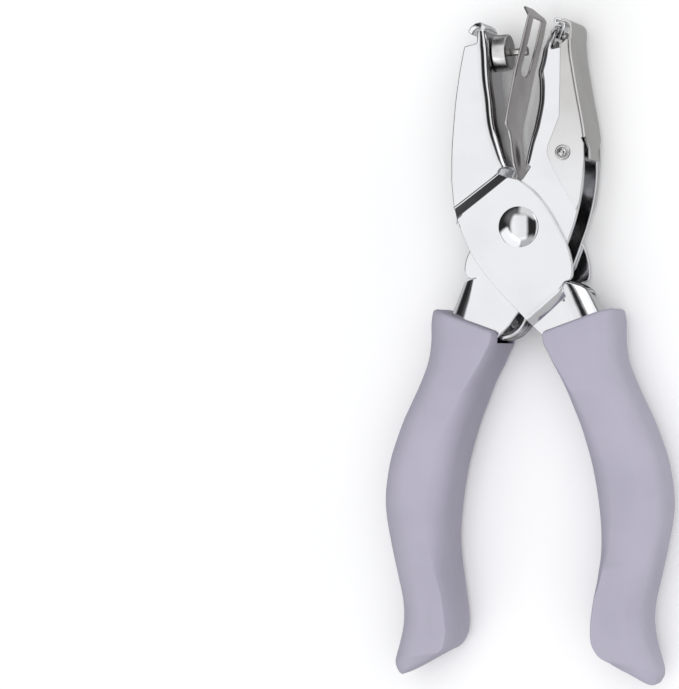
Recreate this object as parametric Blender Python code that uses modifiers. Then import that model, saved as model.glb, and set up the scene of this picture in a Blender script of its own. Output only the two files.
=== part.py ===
"""Circle hand punch: two crossed sheet-steel levers on one rivet, a thin round punch, a slotted
stripper leaf, a hinged chip cover with its catch, a return spring and two vinyl grips.

The tool lies on its back. The origin is the pivot's axis on the table, +Y runs towards the jaws,
+X towards the die side and +Z out of the table. Lengths are in metres.
Outlines are shares of the reach that they belong to, measured from the pivot's axis.
"""

from math import atan2, cos, floor, hypot, pi, radians, sin, tan

import bmesh
import bpy
from mathutils import Matrix, Vector

# Overall reaches from the pivot's axis
JAW_REACH = 0.040
PLATE_REACH = 0.020
HANDLE_REACH = 0.098

# Sheet metal of the levers
SHEET = 0.0012
LEVER_HALF_DEPTH = 0.0060
SHEET_EDGE_ROUND = 0.00015
DIE_JAW_BEND = 0.0014
HANDLE_BEND = 0.0040
ROOF_SET_IN = 0.0010
ROOF_HALF_WIDTH = LEVER_HALF_DEPTH - ROOF_SET_IN

# Clearances between pieces that touch or slide
FIT = 0.0003
SEAT = 0.0002
SNUG = 0.0001
OVERRUN = 0.0010

# The raised plates of the punch lever straddle the die lever
PLATE_HALF_DEPTH = LEVER_HALF_DEPTH + SHEET + FIT

# Pivot rivet and what it carries
RIVET_SHANK_RADIUS = 0.0020
RIVET_HEAD_RADIUS = 0.0044
RIVET_HEAD_HEIGHT = 0.0017
RIVET_HEAD_RIM = 0.0004
TAIL_RADIUS = 0.0034
TAIL_THICKNESS = 0.0006
PIVOT_WASHER_RADIUS = 0.0042
PIVOT_WASHER_THICKNESS = 0.0005
SLEEVE_RADIUS = 0.0030
DOME_STEPS = 6

# The back of the tail lies on the table
MID_HEIGHT = PLATE_HALF_DEPTH + SEAT + PIVOT_WASHER_THICKNESS + SEAT + TAIL_THICKNESS

# Punch, its holder and its fixing
PUNCH_HEIGHT_SHARE = 0.955
PUNCH_HEIGHT = PUNCH_HEIGHT_SHARE * JAW_REACH
PUNCH_TILT = radians(4.5)
HOLDER_RADIUS = 0.0040
HOLDER_LENGTH = 0.0031
HOLDER_CHAMFER = 0.0003
STUD_RADIUS = 0.0016
STUD_HEAD_RADIUS = 0.0026
STUD_HEAD_LENGTH = 0.0008
BACKING_RADIUS = 0.0034
BACKING_THICKNESS = 0.0008
PIN_RADIUS = 0.00080
TIP_RADIUS = 0.00100
PIN_REACH = 0.0073
TIP_LENGTH = 0.0016
PIN_ROOT_DEPTH = 0.0024

# The punch jaw's web is flat where the backing washer lies on it, and bends beside that
PUNCH_JAW_FLAT_HALF = BACKING_RADIUS + SNUG
PUNCH_JAW_BEND = LEVER_HALF_DEPTH - PUNCH_JAW_FLAT_HALF

# Die bush
CLOSING_ANGLE = radians(8.6)
DIE_HOLE_RADIUS = TIP_RADIUS + FIT
BUSH_RADIUS = 0.0020
BUSH_BEHIND = 0.0004
BUSH_PROUD = 0.0001

# Stripper leaf
STRIPPER_SHEET = 0.0005
STRIPPER_OVERHANG = 0.0008
STRIPPER_HALF_WIDTH = LEVER_HALF_DEPTH + STRIPPER_OVERHANG
STRIPPER_SIDE_GAP = 0.0005
STRIPPER_ARM_HALF_WIDTH = LEVER_HALF_DEPTH - SHEET - STRIPPER_SIDE_GAP
STRIPPER_SLOT_HALF_WIDTH = 0.0033
STRIPPER_SLOT_BELOW_PUNCH = 0.0052
STRIPPER_SLOT_ABOVE_PUNCH = 0.0066
LOOP_OPEN_FROM = radians(180)
LOOP_OPEN_TO = radians(465)
LOOP_STEPS = 20

# Chip cover and its hinge
COVER_SHEET = 0.00055
COVER_BEND = 0.0009
COVER_HALF_DEPTH = LEVER_HALF_DEPTH + FIT + COVER_SHEET
COVER_TAB_HALF_WIDTH = 0.0034
COVER_HINGE_SHARE = (0.240, 0.395)
COVER_HINGE_X = COVER_HINGE_SHARE[0] * JAW_REACH
COVER_HINGE_Y = COVER_HINGE_SHARE[1] * JAW_REACH
HINGE_PIN_RADIUS = 0.00085
HINGE_PIN_DOME = 0.0004
EYELET_NECK_RADIUS = 0.00125
EYELET_RADIUS = 0.00165
EYELET_FLANGE = 0.0004

# Cover catch
CATCH_SHEET = 0.00045
CATCH_HALF_WIDTH = 0.0017
CATCH_FINGER_RADIUS = 0.00050
CATCH_FINGER_TURN = radians(255)
CATCH_FINGER_STEPS = 8
CATCH_RIVET_RADIUS = 0.00055
CATCH_RIVET_HEAD_RADIUS = 0.0011
CATCH_RIVET_HEAD = 0.0005
CATCH_RIVET_HEIGHT_SHARE = 1.0475
CATCH_RIVET_HEIGHT = CATCH_RIVET_HEIGHT_SHARE * JAW_REACH
CATCH_FOOT_BELOW_RIVET = 0.00075
CATCH_FLAT_ABOVE_RIVET = 0.00110

# Return spring
SPRING_X = -0.0050
SPRING_Y = -0.0184
SPRING_RADIUS = 0.0051
SPRING_WIRE_RADIUS = 0.00085
SPRING_SIDE_GAP = 0.0003
SPRING_HALF_RISE = LEVER_HALF_DEPTH - SHEET - SPRING_SIDE_GAP - SPRING_WIRE_RADIUS
SPRING_CURL_GAP = 0.00045
SPRING_START = radians(60)
SPRING_PART_TURN = radians(120)
SPRING_POINTS_PER_TURN = 10

# Grips
GRIP_HALF_DEPTH = MID_HEIGHT
GRIP_CORNER = 0.0030
GRIP_CORNER_STEPS = 4
GRIP_END_ROUND = 0.0009
GRIP_ROOM_RISE = 0.0030

# How finely round shapes are divided
BEND_STEPS = 5
ROUND_STEPS = 36
SMALL_ROUND_STEPS = 24
SMOOTH_BELOW = radians(32)
MERGE = 0.00001

# Punch jaw: its flat face towards the paper, from the roof's end down to the web's foot
PUNCH_JAW_WEB_SHARES = (
    (-0.307, 1.097), (-0.280, 1.110), (-0.247, 1.105), (-0.217, 1.075), (-0.198, 1.032),
    (-0.190, 0.988), (-0.185, 0.925), (-0.182, 0.860), (-0.174, 0.775), (-0.162, 0.691),
    (-0.150, 0.573), (-0.133, 0.500), (-0.098, 0.378), (-0.082, 0.330),
)

# Punch jaw: free edge of its cheeks, from the foot of the joggle up, then in under the roof
PUNCH_JAW_EDGE_SHARES = (
    (-0.394, 0.261), (-0.392, 0.428), (-0.383, 0.550), (-0.372, 0.675), (-0.364, 0.738),
    (-0.345, 0.861), (-0.320, 0.985),
)

# Punch jaw: how many points of that line belong to the roof, which has no cheeks
ROOF_POINTS = 4

# Punch jaw: the point of its flat face's line, from the roof down, where the cheeks start
PUNCH_CHEEK_FROM = 5

# Joggle that lifts the plates off the punch jaw: its foot and its top, left to right
UPPER_FOOT_SHARES = (
    (-0.755, 0.218), (-0.500, 0.400), (-0.260, 0.575),
)
UPPER_TOP_SHARES = (
    (-0.700, 0.095), (-0.410, 0.310), (-0.110, 0.535),
)

# Joggle down to the handle: its top and its foot, left to right
LOWER_TOP_SHARES = (
    (0.093, -1.015), (0.295, -0.847), (0.495, -0.680),
)
LOWER_FOOT_SHARES = (
    (0.144, -1.075), (0.330, -0.918), (0.515, -0.760),
)

# Raised plate: right edge from the upper joggle down, with the relief notch
PLATE_RIGHT_SHARES = (
    (0.001, 0.505), (0.150, 0.392), (0.240, 0.295), (0.328, 0.175), (0.405, 0.045), (0.483, -0.105),
    (0.545, -0.220), (0.590, -0.380), (0.597, -0.520), (0.580, -0.580), (0.505, -0.610),
)

# Raised plate: left edge from the lower joggle up
PLATE_LEFT_SHARES = (
    (0.060, -0.975), (-0.014, -0.900), (-0.335, -0.565), (-0.530, -0.295), (-0.635, -0.080),
)

# Handle: outermost line of its web, from below the pivot to the handle's foot
HANDLE_WEB_SHARES = (
    (0.140, -0.133), (0.157, -0.162), (0.178, -0.202), (0.196, -0.247), (0.206, -0.291),
    (0.222, -0.336), (0.242, -0.381), (0.261, -0.424), (0.279, -0.469), (0.292, -0.513),
    (0.300, -0.557), (0.305, -0.601), (0.303, -0.646), (0.297, -0.690), (0.287, -0.735),
    (0.276, -0.779), (0.268, -0.822), (0.265, -0.857),
)

# Handle: free edge of its cheeks, from the foot back up to the joggle
HANDLE_EDGE_SHARES = (
    (0.178, -0.857), (0.179, -0.822), (0.186, -0.779), (0.192, -0.735), (0.195, -0.690),
    (0.193, -0.646), (0.189, -0.601), (0.182, -0.557), (0.171, -0.513), (0.158, -0.469),
    (0.142, -0.424), (0.123, -0.381), (0.106, -0.336), (0.088, -0.291), (0.073, -0.265),
    (0.054, -0.242),
)

# Die jaw: its flat face towards the paper, from the tip down to the web's foot
DIE_JAW_WEB_SHARES = (
    (0.165, 1.093), (0.152, 1.057), (0.135, 1.010), (0.116, 0.968), (0.098, 0.882), (0.085, 0.835),
    (0.091, 0.792), (0.093, 0.738), (0.089, 0.665), (0.064, 0.542), (0.041, 0.450), (0.019, 0.334),
)

# Die jaw: free edge of its cheeks, from the pivot plate up
DIE_JAW_EDGE_SHARES = (
    (0.262, -0.085), (0.297, 0.011), (0.329, 0.133), (0.346, 0.241), (0.349, 0.358), (0.333, 0.472),
    (0.315, 0.562), (0.295, 0.675), (0.280, 0.775), (0.267, 0.875), (0.258, 0.970),
)

# Die lever's plate: left edge from the jaw down to the relief bite, then the right edge's foot
DIE_PLATE_LEFT_SHARES = (
    (0.025, 0.530), (-0.130, 0.400), (-0.240, 0.300), (-0.328, 0.180), (-0.405, 0.050),
    (-0.483, -0.100), (-0.565, -0.230), (-0.615, -0.330), (-0.635, -0.508), (-0.580, -0.550),
    (-0.505, -0.580),
)
DIE_PLATE_RIGHT_SHARES = (
    (-0.130, -1.060), (-0.015, -0.900), (0.425, -0.435),
)

# Stripper: middle line of the leaf, from the lip down to where it bends round the sleeve
STRIPPER_SHARES = (
    (0.018, 1.188), (0.048, 1.137), (0.028, 1.050), (0.005, 0.957), (-0.024, 0.847),
    (-0.055, 0.695), (-0.081, 0.562), (-0.075, 0.522), (-0.070, 0.478), (-0.062, 0.403),
    (-0.054, 0.350), (-0.044, 0.283), (-0.065, 0.163), (-0.085, 0.060),
)

# Stripper: where the lip ends at the back, lower than at the front
STRIPPER_LIP_BACK_SHARE = (0.040, 1.155)

# Chip cover: outer face of its web, from the roof's lip down to the fold's foot, then its tab
COVER_WEB_SHARES = (
    (0.225, 1.110), (0.250, 1.110), (0.270, 1.100), (0.283, 1.080), (0.286, 1.050), (0.283, 1.000),
    (0.287, 0.925), (0.302, 0.832), (0.321, 0.722), (0.355, 0.542), (0.364, 0.475),
)
COVER_TAB_SHARES = (
    (0.369, 0.415), (0.370, 0.358),
)

# Chip cover: flank edge from the fold's foot down, round the tail and up to its top
COVER_FLANK_SHARES = (
    (0.355, 0.440), (0.357, 0.358), (0.348, 0.241), (0.333, 0.133), (0.312, 0.085), (0.247, 0.198),
    (0.180, 0.320), (0.151, 0.395), (0.158, 0.438), (0.185, 0.505), (0.219, 0.590), (0.223, 0.775),
    (0.225, 0.972),
)

# Catch: middle line of the leaf, from where it leaves the die jaw's web to the finger
CATCH_SHARES = (
    (0.2125, 1.080), (0.2113, 1.100), (0.1975, 1.119), (0.1775, 1.1275),
)

# Grip: outer and inner corner of each section, from the mouth down to the foot
GRIP_SECTION_SHARES = (
    ((0.208, -0.176), (0.050, -0.231)),
    ((0.216, -0.209), (0.051, -0.255)),
    ((0.216, -0.247), (0.060, -0.278)),
    ((0.221, -0.291), (0.073, -0.306)),
    ((0.240, -0.336), (0.092, -0.343)),
    ((0.260, -0.381), (0.107, -0.381)),
    ((0.280, -0.424), (0.126, -0.424)),
    ((0.296, -0.469), (0.142, -0.469)),
    ((0.310, -0.513), (0.155, -0.513)),
    ((0.317, -0.557), (0.165, -0.557)),
    ((0.322, -0.601), (0.172, -0.601)),
    ((0.320, -0.646), (0.177, -0.646)),
    ((0.314, -0.690), (0.179, -0.690)),
    ((0.304, -0.735), (0.176, -0.735)),
    ((0.292, -0.779), (0.169, -0.779)),
    ((0.285, -0.822), (0.162, -0.822)),
    ((0.282, -0.867), (0.159, -0.857)),
    ((0.290, -0.911), (0.164, -0.898)),
    ((0.302, -0.955), (0.172, -0.924)),
    ((0.302, -0.982), (0.188, -0.941)),
    ((0.290, -1.000), (0.210, -0.953)),
)

# Die jaw's tip: how far its tongue keeps the flat width of the web, from the end down
DIE_TIP_WIDTH_SHARES = (0.35, 0.85, 1.0, 1.0)

# Stripper: half width at its first points, the rest is the arm
STRIPPER_WIDTH_SHARES = (0.82, 0.95, 1.0, 1.0, 1.0, 1.0, 0.93, 0.72)

# Chip cover: how many points of its web line belong to the roof
COVER_ROOF_POINTS = 5

# Return spring: its legs, from the end in the right handle to the coil and from the coil to the left
SPRING_RIGHT_LEG_SHARES = ((0.166, -0.316), (0.153, -0.280), (0.133, -0.245), (0.092, -0.206), (0.030, -0.172))
SPRING_LEFT_LEG_SHARES = ((-0.106, -0.235), (-0.120, -0.275), (-0.143, -0.310), (-0.172, -0.340))


def scaled(shares, reach):
    """Outline points in metres from shares of a reach."""
    return [(x * reach, y * reach) for x, y in shares]


def mirrored(points):
    """The same outline on the other side of the pivot's axis."""
    return [(-x, y) for x, y in points]


def shifted_line(points, distance, side):
    """A line moved sideways by a distance, towards +X where side is 1 and towards -X where it is -1."""
    moved = []
    for i, (x, y) in enumerate(points):
        ahead = points[min(i + 1, len(points) - 1)]
        behind = points[max(i - 1, 0)]
        run, rise = ahead[0] - behind[0], ahead[1] - behind[1]
        length = hypot(run, rise)
        across, along = -rise / length, run / length
        if across * side < 0:
            across, along = -across, -along
        moved.append((x + across * distance, y + along * distance))
    return moved


def point_on(points, height):
    """Place and slope angle of a line at a height above the pivot, carried on past its ends."""
    parts = [(a, b) for a, b in zip(points, points[1:]) if a[1] != b[1]]
    (x0, y0), (x1, y1) = min(parts, key=lambda part: abs(part[0][1] - height) + abs(part[1][1] - height)
                             - abs(part[0][1] - part[1][1]))
    share = (height - y0) / (y1 - y0)
    return x0 + share * (x1 - x0), atan2(y0 - y1, x0 - x1)


def finish(name, colour, roughness, metallic):
    """A Principled material."""
    material = bpy.data.materials.new(name)
    material.use_nodes = True
    shader = material.node_tree.nodes["Principled BSDF"]
    shader.inputs["Base Color"].default_value = (*colour, 1.0)
    shader.inputs["Roughness"].default_value = roughness
    shader.inputs["Metallic"].default_value = metallic
    return material


def collection(name):
    """A collection of the scene."""
    made = bpy.data.collections.new(name)
    bpy.context.scene.collection.children.link(made)
    return made


def settle(piece, group, material=None, smooth=True):
    """Put an object in its collection, with its material and soft shading on its round faces."""
    for holder in list(piece.users_collection):
        holder.objects.unlink(piece)
    group.objects.link(piece)
    if material:
        piece.data.materials.clear()
        piece.data.materials.append(material)
    if smooth and piece.type == "MESH":
        piece.data.shade_smooth()
        piece.data.set_sharp_from_angle(angle=SMOOTH_BELOW)
    return piece


def mesh_object(name, shape):
    """An object from a bmesh, at the middle of the tool's depth."""
    data = bpy.data.meshes.new(name)
    shape.to_mesh(data)
    shape.free()
    piece = bpy.data.objects.new(name, data)
    piece.location = (0, 0, MID_HEIGHT)
    bpy.context.scene.collection.objects.link(piece)
    return piece


def cut(piece, cutter):
    """Take a cutter's space out of a piece."""
    cutter.hide_render = True
    cutter.display_type = "WIRE"
    settle(cutter, CUTTERS, smooth=False)
    boolean = piece.modifiers.new(cutter.name, "BOOLEAN")
    boolean.operation = "DIFFERENCE"
    boolean.object = cutter
    boolean.solver = "EXACT"


def hang(piece, axis_empty):
    """Let a piece turn with the empty on its joint's axis, where it stands now."""
    piece.parent = axis_empty
    piece.matrix_parent_inverse = Matrix.Translation(-axis_empty.location)


def axis_empty(name, x, y):
    """An empty on a joint's axis."""
    empty = bpy.data.objects.new(name, None)
    empty.empty_display_size = RIVET_HEAD_RADIUS
    empty.location = (x, y, MID_HEIGHT)
    PARTS.objects.link(empty)
    return empty


class HalfSkin:
    """The outer face of the upper half of a bent sheet, sewn together from flat outlines and strips.

    The open edge at the middle of the depth is mirrored, and the whole skin then gets its thickness.
    """

    def __init__(self):
        self.shape = bmesh.new()
        self.corners = {}

    def corner(self, place):
        """The corner at a place, shared by every face that meets there."""
        key = tuple(round(value / MERGE) for value in place)
        if key not in self.corners:
            self.corners[key] = self.shape.verts.new(place)
        return self.corners[key]

    def face(self, places):
        """One face through these places, leaving out corners that fall together."""
        ring = []
        for place in places:
            vertex = self.corner(place)
            if vertex not in ring:
                ring.append(vertex)
        self.shape.faces.new(ring)

    def flat(self, outline, height):
        """A flat face with this outline."""
        self.face([(x, y, height) for x, y in outline])

    def strip(self, line, other):
        """Faces between two lines of as many places."""
        for i in range(len(line) - 1):
            self.face([line[i], line[i + 1], other[i + 1], other[i]])

    def web(self, points, half_depth, bend, side):
        """The web along a line, with its bend; gives back the line where the bend meets the cheek."""
        row = [(x, y, 0) for x, y in points]
        following = [(x, y, half_depth - bend) for x, y in points]
        self.strip(row, following)
        for step in range(1, BEND_STEPS + 1):
            turn = pi / 2 * step / BEND_STEPS
            row = following
            inner = shifted_line(points, bend * (1 - cos(turn)), side)
            following = [(x, y, half_depth - bend + bend * sin(turn)) for x, y in inner]
            self.strip(row, following)
        return [(x, y) for x, y, _ in following]

    def tongue(self, points, half_widths):
        """A flat strip that goes on from a web, without cheeks."""
        row = [(x, y, 0) for x, y in points]
        following = [(x, y, width) for (x, y), width in zip(points, half_widths)]
        self.strip(row, following)

    def sheet(self, name, thickness, edge_round=0):
        """The finished sheet: both halves, its thickness and softened cut edges."""
        bmesh.ops.recalc_face_normals(self.shape, faces=self.shape.faces)
        self.shape.faces.ensure_lookup_table()
        top = max(self.shape.faces, key=lambda face: face.calc_center_median().z)
        if top.normal.z < 0:
            bmesh.ops.reverse_faces(self.shape, faces=self.shape.faces)
        piece = mesh_object(name, self.shape)
        halves = piece.modifiers.new("both halves", "MIRROR")
        halves.use_axis = (False, False, True)
        halves.merge_threshold = MERGE
        wall = piece.modifiers.new("sheet", "SOLIDIFY")
        wall.thickness = thickness
        wall.offset = -1
        wall.use_even_offset = True
        if edge_round:
            edge = piece.modifiers.new("cut edges", "BEVEL")
            edge.width = edge_round
            edge.segments = 1
            edge.limit_method = "ANGLE"
            edge.angle_limit = radians(60)
        return piece


def closed_channel(name, web, edge, half_depth, bend, side):
    """A solid that fills a channel: web line with its bend on one side, free edge on the other."""
    skin = HalfSkin()
    cheek = skin.web(web, half_depth, bend, side)
    skin.flat(cheek + edge, half_depth)
    for (x0, y0), (x1, y1) in zip(edge, edge[1:]):
        skin.face([(x0, y0, half_depth), (x1, y1, half_depth), (x1, y1, 0), (x0, y0, 0)])
    for end, corner in ((-1, edge[0]), (0, edge[-1])):
        arc = [(web[end][0], web[end][1], 0), (web[end][0], web[end][1], half_depth - bend)]
        for step in range(1, BEND_STEPS + 1):
            turn = pi / 2 * step / BEND_STEPS
            x, y = shifted_line(web, bend * (1 - cos(turn)), side)[end]
            arc.append((x, y, half_depth - bend + bend * sin(turn)))
        skin.face(arc + [(corner[0], corner[1], half_depth), (corner[0], corner[1], 0)])
    bmesh.ops.recalc_face_normals(skin.shape, faces=skin.shape.faces)
    piece = mesh_object(name, skin.shape)
    halves = piece.modifiers.new("both halves", "MIRROR")
    halves.use_axis = (False, False, True)
    halves.merge_threshold = MERGE
    return piece


def turned(name, profile, place, toward=(0, 0, 1), closed=False, steps=SMALL_ROUND_STEPS):
    """A turned piece: radii and heights along its axis, down the outer side from the top."""
    data = bpy.data.meshes.new(name)
    places = [(radius, 0, height) for radius, height in profile]
    edges = [(i, i + 1) for i in range(len(places) - 1)]
    if closed:
        edges.append((len(places) - 1, 0))
    data.from_pydata(places, edges, [])
    piece = bpy.data.objects.new(name, data)
    bpy.context.scene.collection.objects.link(piece)
    lathe = piece.modifiers.new("turned", "SCREW")
    lathe.steps = steps
    lathe.render_steps = steps
    lathe.use_merge_vertices = True
    lathe.merge_threshold = MERGE
    lathe.use_smooth_shade = False
    piece.rotation_mode = "QUATERNION"
    piece.rotation_quaternion = Vector(toward).to_track_quat("Z", "X")
    piece.location = place
    return piece


def rod(name, radius, length, place, toward=(0, 0, 1), steps=SMALL_ROUND_STEPS):
    """A plain cylinder whose middle is at a place."""
    half = length / 2
    return turned(name, [(0, half), (radius, half), (radius, -half), (0, -half)], place, toward, steps=steps)


def ring(name, inner, outer, bottom, top, place, toward=(0, 0, 1), steps=SMALL_ROUND_STEPS):
    """A plain washer or tube between two heights."""
    profile = [(outer, top), (outer, bottom), (inner, bottom), (inner, top)]
    return turned(name, profile, place, toward, closed=True, steps=steps)


def dome(radius, height, base):
    """Profile of a dome that ends at its rim."""
    ball = (radius * radius + height * height) / (2 * height)
    opening = atan2(radius, ball - height)
    return [
        (ball * sin(opening * step / DOME_STEPS), base + height - ball + ball * cos(opening * step / DOME_STEPS))
        for step in range(DOME_STEPS + 1)
    ]


def leaf(name, points, low, high, thickness):
    """A bent leaf: its middle line, and how low and high it reaches at each point."""
    shape = bmesh.new()
    lower = [shape.verts.new((x, y, z)) for (x, y), z in zip(points, low)]
    upper = [shape.verts.new((x, y, z)) for (x, y), z in zip(points, high)]
    for i in range(len(points) - 1):
        shape.faces.new((lower[i], lower[i + 1], upper[i + 1], upper[i]))
    piece = mesh_object(name, shape)
    wall = piece.modifiers.new("leaf", "SOLIDIFY")
    wall.thickness = thickness
    wall.offset = 0
    wall.use_even_offset = True
    return piece


def block(name, low, high):
    """A box between two corners, measured from the middle of the tool's depth."""
    bpy.ops.mesh.primitive_cube_add(size=1)
    piece = bpy.context.active_object
    piece.name = name
    piece.scale = [b - a for a, b in zip(low, high)]
    piece.location = [(a + b) / 2 for a, b in zip(low, high)]
    piece.location.z += MID_HEIGHT
    return piece


def punch_line(along):
    """A point on the punch's axis, so far from the outer face of the punch jaw's web."""
    x, _ = point_on(PUNCH_JAW_WEB, PUNCH_HEIGHT)
    return (x + along * cos(PUNCH_TILT), PUNCH_HEIGHT + along * sin(PUNCH_TILT), MID_HEIGHT)


def die_start():
    """Where the punch's axis meets the die jaw's face, with the jaws open."""
    heading = PUNCH_TILT - CLOSING_ANGLE
    x, y, _ = punch_line(0)
    open_x = x * cos(CLOSING_ANGLE) + y * sin(CLOSING_ANGLE)
    open_y = y * cos(CLOSING_ANGLE) - x * sin(CLOSING_ANGLE)
    height = open_y
    for _ in range(4):
        face_x, _ = point_on(DIE_JAW_WEB, height)
        height = open_y + (face_x - open_x) * tan(heading)
    return face_x, height, heading


def die_line(along):
    """A point on the die's axis, so far behind the face of the die jaw's web."""
    return (DIE_X + along * DIE_DIRECTION[0], DIE_Y + along * DIE_DIRECTION[1], MID_HEIGHT)


def catch_seat(along):
    """A point on the catch rivet's axis, so far behind the web's face, and the axis itself."""
    x, slope = point_on(DIE_JAW_WEB, CATCH_RIVET_HEIGHT)
    toward = (sin(slope), -cos(slope), 0)
    return (x + along * toward[0], CATCH_RIVET_HEIGHT + along * toward[1], MID_HEIGHT), toward


def catch_flat():
    """The catch's middle line where it lies along the die jaw's web, from its foot up."""
    (x, y, _), toward = catch_seat(SHEET + FIT + CATCH_SHEET / 2)
    rises = (-CATCH_FOOT_BELOW_RIVET, 0, CATCH_FLAT_ABOVE_RIVET)
    return [(x - rise * toward[1], y + rise * toward[0]) for rise in rises]


def build_punch_lever():
    """Left jaw, raised pivot plates and right handle, bent from one sheet."""
    skin = HalfSkin()
    roof = PUNCH_JAW_WEB[:ROOF_POINTS]
    jaw = PUNCH_JAW_WEB[ROOF_POINTS - 1 :]
    skin.tongue(roof, [ROOF_HALF_WIDTH] * (ROOF_POINTS - 1) + [PUNCH_JAW_FLAT_HALF])
    crease = skin.web(jaw, LEVER_HALF_DEPTH, PUNCH_JAW_BEND, -1)
    cheek = crease[PUNCH_CHEEK_FROM - ROOF_POINTS + 1 :]
    skin.flat(cheek + UPPER_FOOT[::-1] + PUNCH_JAW_EDGE, LEVER_HALF_DEPTH)
    skin.strip(
        [(x, y, LEVER_HALF_DEPTH) for x, y in UPPER_FOOT], [(x, y, PLATE_HALF_DEPTH) for x, y in UPPER_TOP]
    )
    skin.flat(UPPER_TOP + PLATE_RIGHT + LOWER_TOP[::-1] + PLATE_LEFT, PLATE_HALF_DEPTH)
    skin.strip(
        [(x, y, PLATE_HALF_DEPTH) for x, y in LOWER_TOP], [(x, y, LEVER_HALF_DEPTH) for x, y in LOWER_FOOT]
    )
    crease = skin.web(HANDLE_WEB, LEVER_HALF_DEPTH, HANDLE_BEND, -1)
    skin.flat(crease + HANDLE_EDGE + LOWER_FOOT, LEVER_HALF_DEPTH)
    lever = skin.sheet("punch_lever", SHEET, SHEET_EDGE_ROUND)
    depth = 2 * PLATE_HALF_DEPTH + OVERRUN
    cut(lever, rod("pivot_hole_in_punch_lever", RIVET_SHANK_RADIUS + FIT, depth, (0, 0, MID_HEIGHT)))
    toward = (cos(PUNCH_TILT), sin(PUNCH_TILT), 0)
    stud_room = STUD_RADIUS + FIT
    cut(lever, rod("stud_hole", stud_room, 4 * SHEET, punch_line(-SHEET / 2), toward))
    return settle(lever, PARTS, CHROME)


def build_die_lever(axis):
    """Right jaw, pivot plates and left handle, bent from one sheet, between the other's plates."""
    skin = HalfSkin()
    tip = DIE_JAW_WEB[:4]
    jaw = DIE_JAW_WEB[3:]
    flat_half = LEVER_HALF_DEPTH - DIE_JAW_BEND
    skin.tongue(tip, [flat_half * share for share in DIE_TIP_WIDTH_SHARES])
    jaw_crease = skin.web(jaw, LEVER_HALF_DEPTH, DIE_JAW_BEND, 1)
    handle_crease = skin.web(mirrored(HANDLE_WEB), LEVER_HALF_DEPTH, HANDLE_BEND, 1)
    cheek = jaw_crease + DIE_PLATE_LEFT + handle_crease + mirrored(HANDLE_EDGE)
    skin.flat(cheek + DIE_PLATE_RIGHT + DIE_JAW_EDGE, LEVER_HALF_DEPTH)
    lever = skin.sheet("die_lever", SHEET, SHEET_EDGE_ROUND)
    depth = 2 * PLATE_HALF_DEPTH
    cut(lever, rod("pivot_hole_in_die_lever", RIVET_SHANK_RADIUS + FIT, depth, (0, 0, MID_HEIGHT)))
    hinge_place = (COVER_HINGE_X, COVER_HINGE_Y, MID_HEIGHT)
    cut(lever, rod("hinge_hole_in_die_lever", EYELET_NECK_RADIUS + FIT, depth, hinge_place))
    cut(lever, rod("bush_hole", BUSH_RADIUS + FIT, 4 * SHEET, die_line(SHEET / 2), DIE_DIRECTION))
    place, toward = catch_seat(SHEET / 2)
    cut(lever, rod("catch_rivet_hole", CATCH_RIVET_RADIUS + FIT, 2 * SHEET, place, toward))
    hang(lever, axis)
    return settle(lever, PARTS, CHROME)


def build_pivot():
    """The rivet with its domed head in front and flat tail behind, its washer and the sleeve."""
    front = PLATE_HALF_DEPTH + SEAT
    tail_top = TAIL_THICKNESS - MID_HEIGHT
    head = dome(RIVET_HEAD_RADIUS, RIVET_HEAD_HEIGHT - RIVET_HEAD_RIM, front + RIVET_HEAD_RIM)
    profile = head + [
        (RIVET_HEAD_RADIUS, front),
        (RIVET_SHANK_RADIUS, front),
        (RIVET_SHANK_RADIUS, tail_top),
        (TAIL_RADIUS, tail_top),
        (TAIL_RADIUS, -MID_HEIGHT),
        (0, -MID_HEIGHT),
    ]
    rivet = turned("pivot_rivet", profile, (0, 0, MID_HEIGHT), steps=ROUND_STEPS)
    settle(rivet, PARTS, CHROME)
    bottom = tail_top + SEAT
    bore = RIVET_SHANK_RADIUS + FIT
    place = (0, 0, MID_HEIGHT)
    washer = ring("pivot_washer", bore, PIVOT_WASHER_RADIUS, bottom, bottom + PIVOT_WASHER_THICKNESS, place)
    settle(washer, PARTS, STEEL)
    reach = LEVER_HALF_DEPTH - SHEET - SEAT
    settle(ring("pivot_sleeve", bore, SLEEVE_RADIUS, -reach, reach, place), PARTS, STEEL)


def build_punch():
    """The shouldered holder staked through the web, its backing washer and the thin punch."""
    toward = (cos(PUNCH_TILT), sin(PUNCH_TILT), 0)
    start = punch_line(0)
    back = FIT
    front = back + HOLDER_LENGTH
    inner = -SHEET - FIT
    washer_end = inner - BACKING_THICKNESS
    head = washer_end - SEAT
    bore = PIN_RADIUS + SNUG
    root = front - PIN_ROOT_DEPTH
    profile = [
        (0, root),
        (bore, root),
        (bore, front),
        (HOLDER_RADIUS - HOLDER_CHAMFER, front),
        (HOLDER_RADIUS, front - HOLDER_CHAMFER),
        (HOLDER_RADIUS, back),
        (STUD_RADIUS, back),
        (STUD_RADIUS, head),
        (STUD_HEAD_RADIUS, head),
        (STUD_HEAD_RADIUS, head - STUD_HEAD_LENGTH),
        (0, head - STUD_HEAD_LENGTH),
    ]
    holder = turned("punch_holder", profile, start, toward, steps=ROUND_STEPS)
    settle(holder, PARTS, STEEL)
    pin = turned(
        "punch_pin",
        [
            (0, PIN_REACH),
            (TIP_RADIUS, PIN_REACH),
            (TIP_RADIUS, PIN_REACH - TIP_LENGTH),
            (PIN_RADIUS, PIN_REACH - TIP_LENGTH - (TIP_RADIUS - PIN_RADIUS)),
            (PIN_RADIUS, root + SNUG),
            (0, root + SNUG),
        ],
        start,
        toward,
    )
    settle(pin, PARTS, STEEL)
    washer = ring(
        "punch_backing_washer", STUD_RADIUS + FIT, BACKING_RADIUS, washer_end, inner, start, toward
    )
    settle(washer, PARTS, STEEL)


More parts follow.
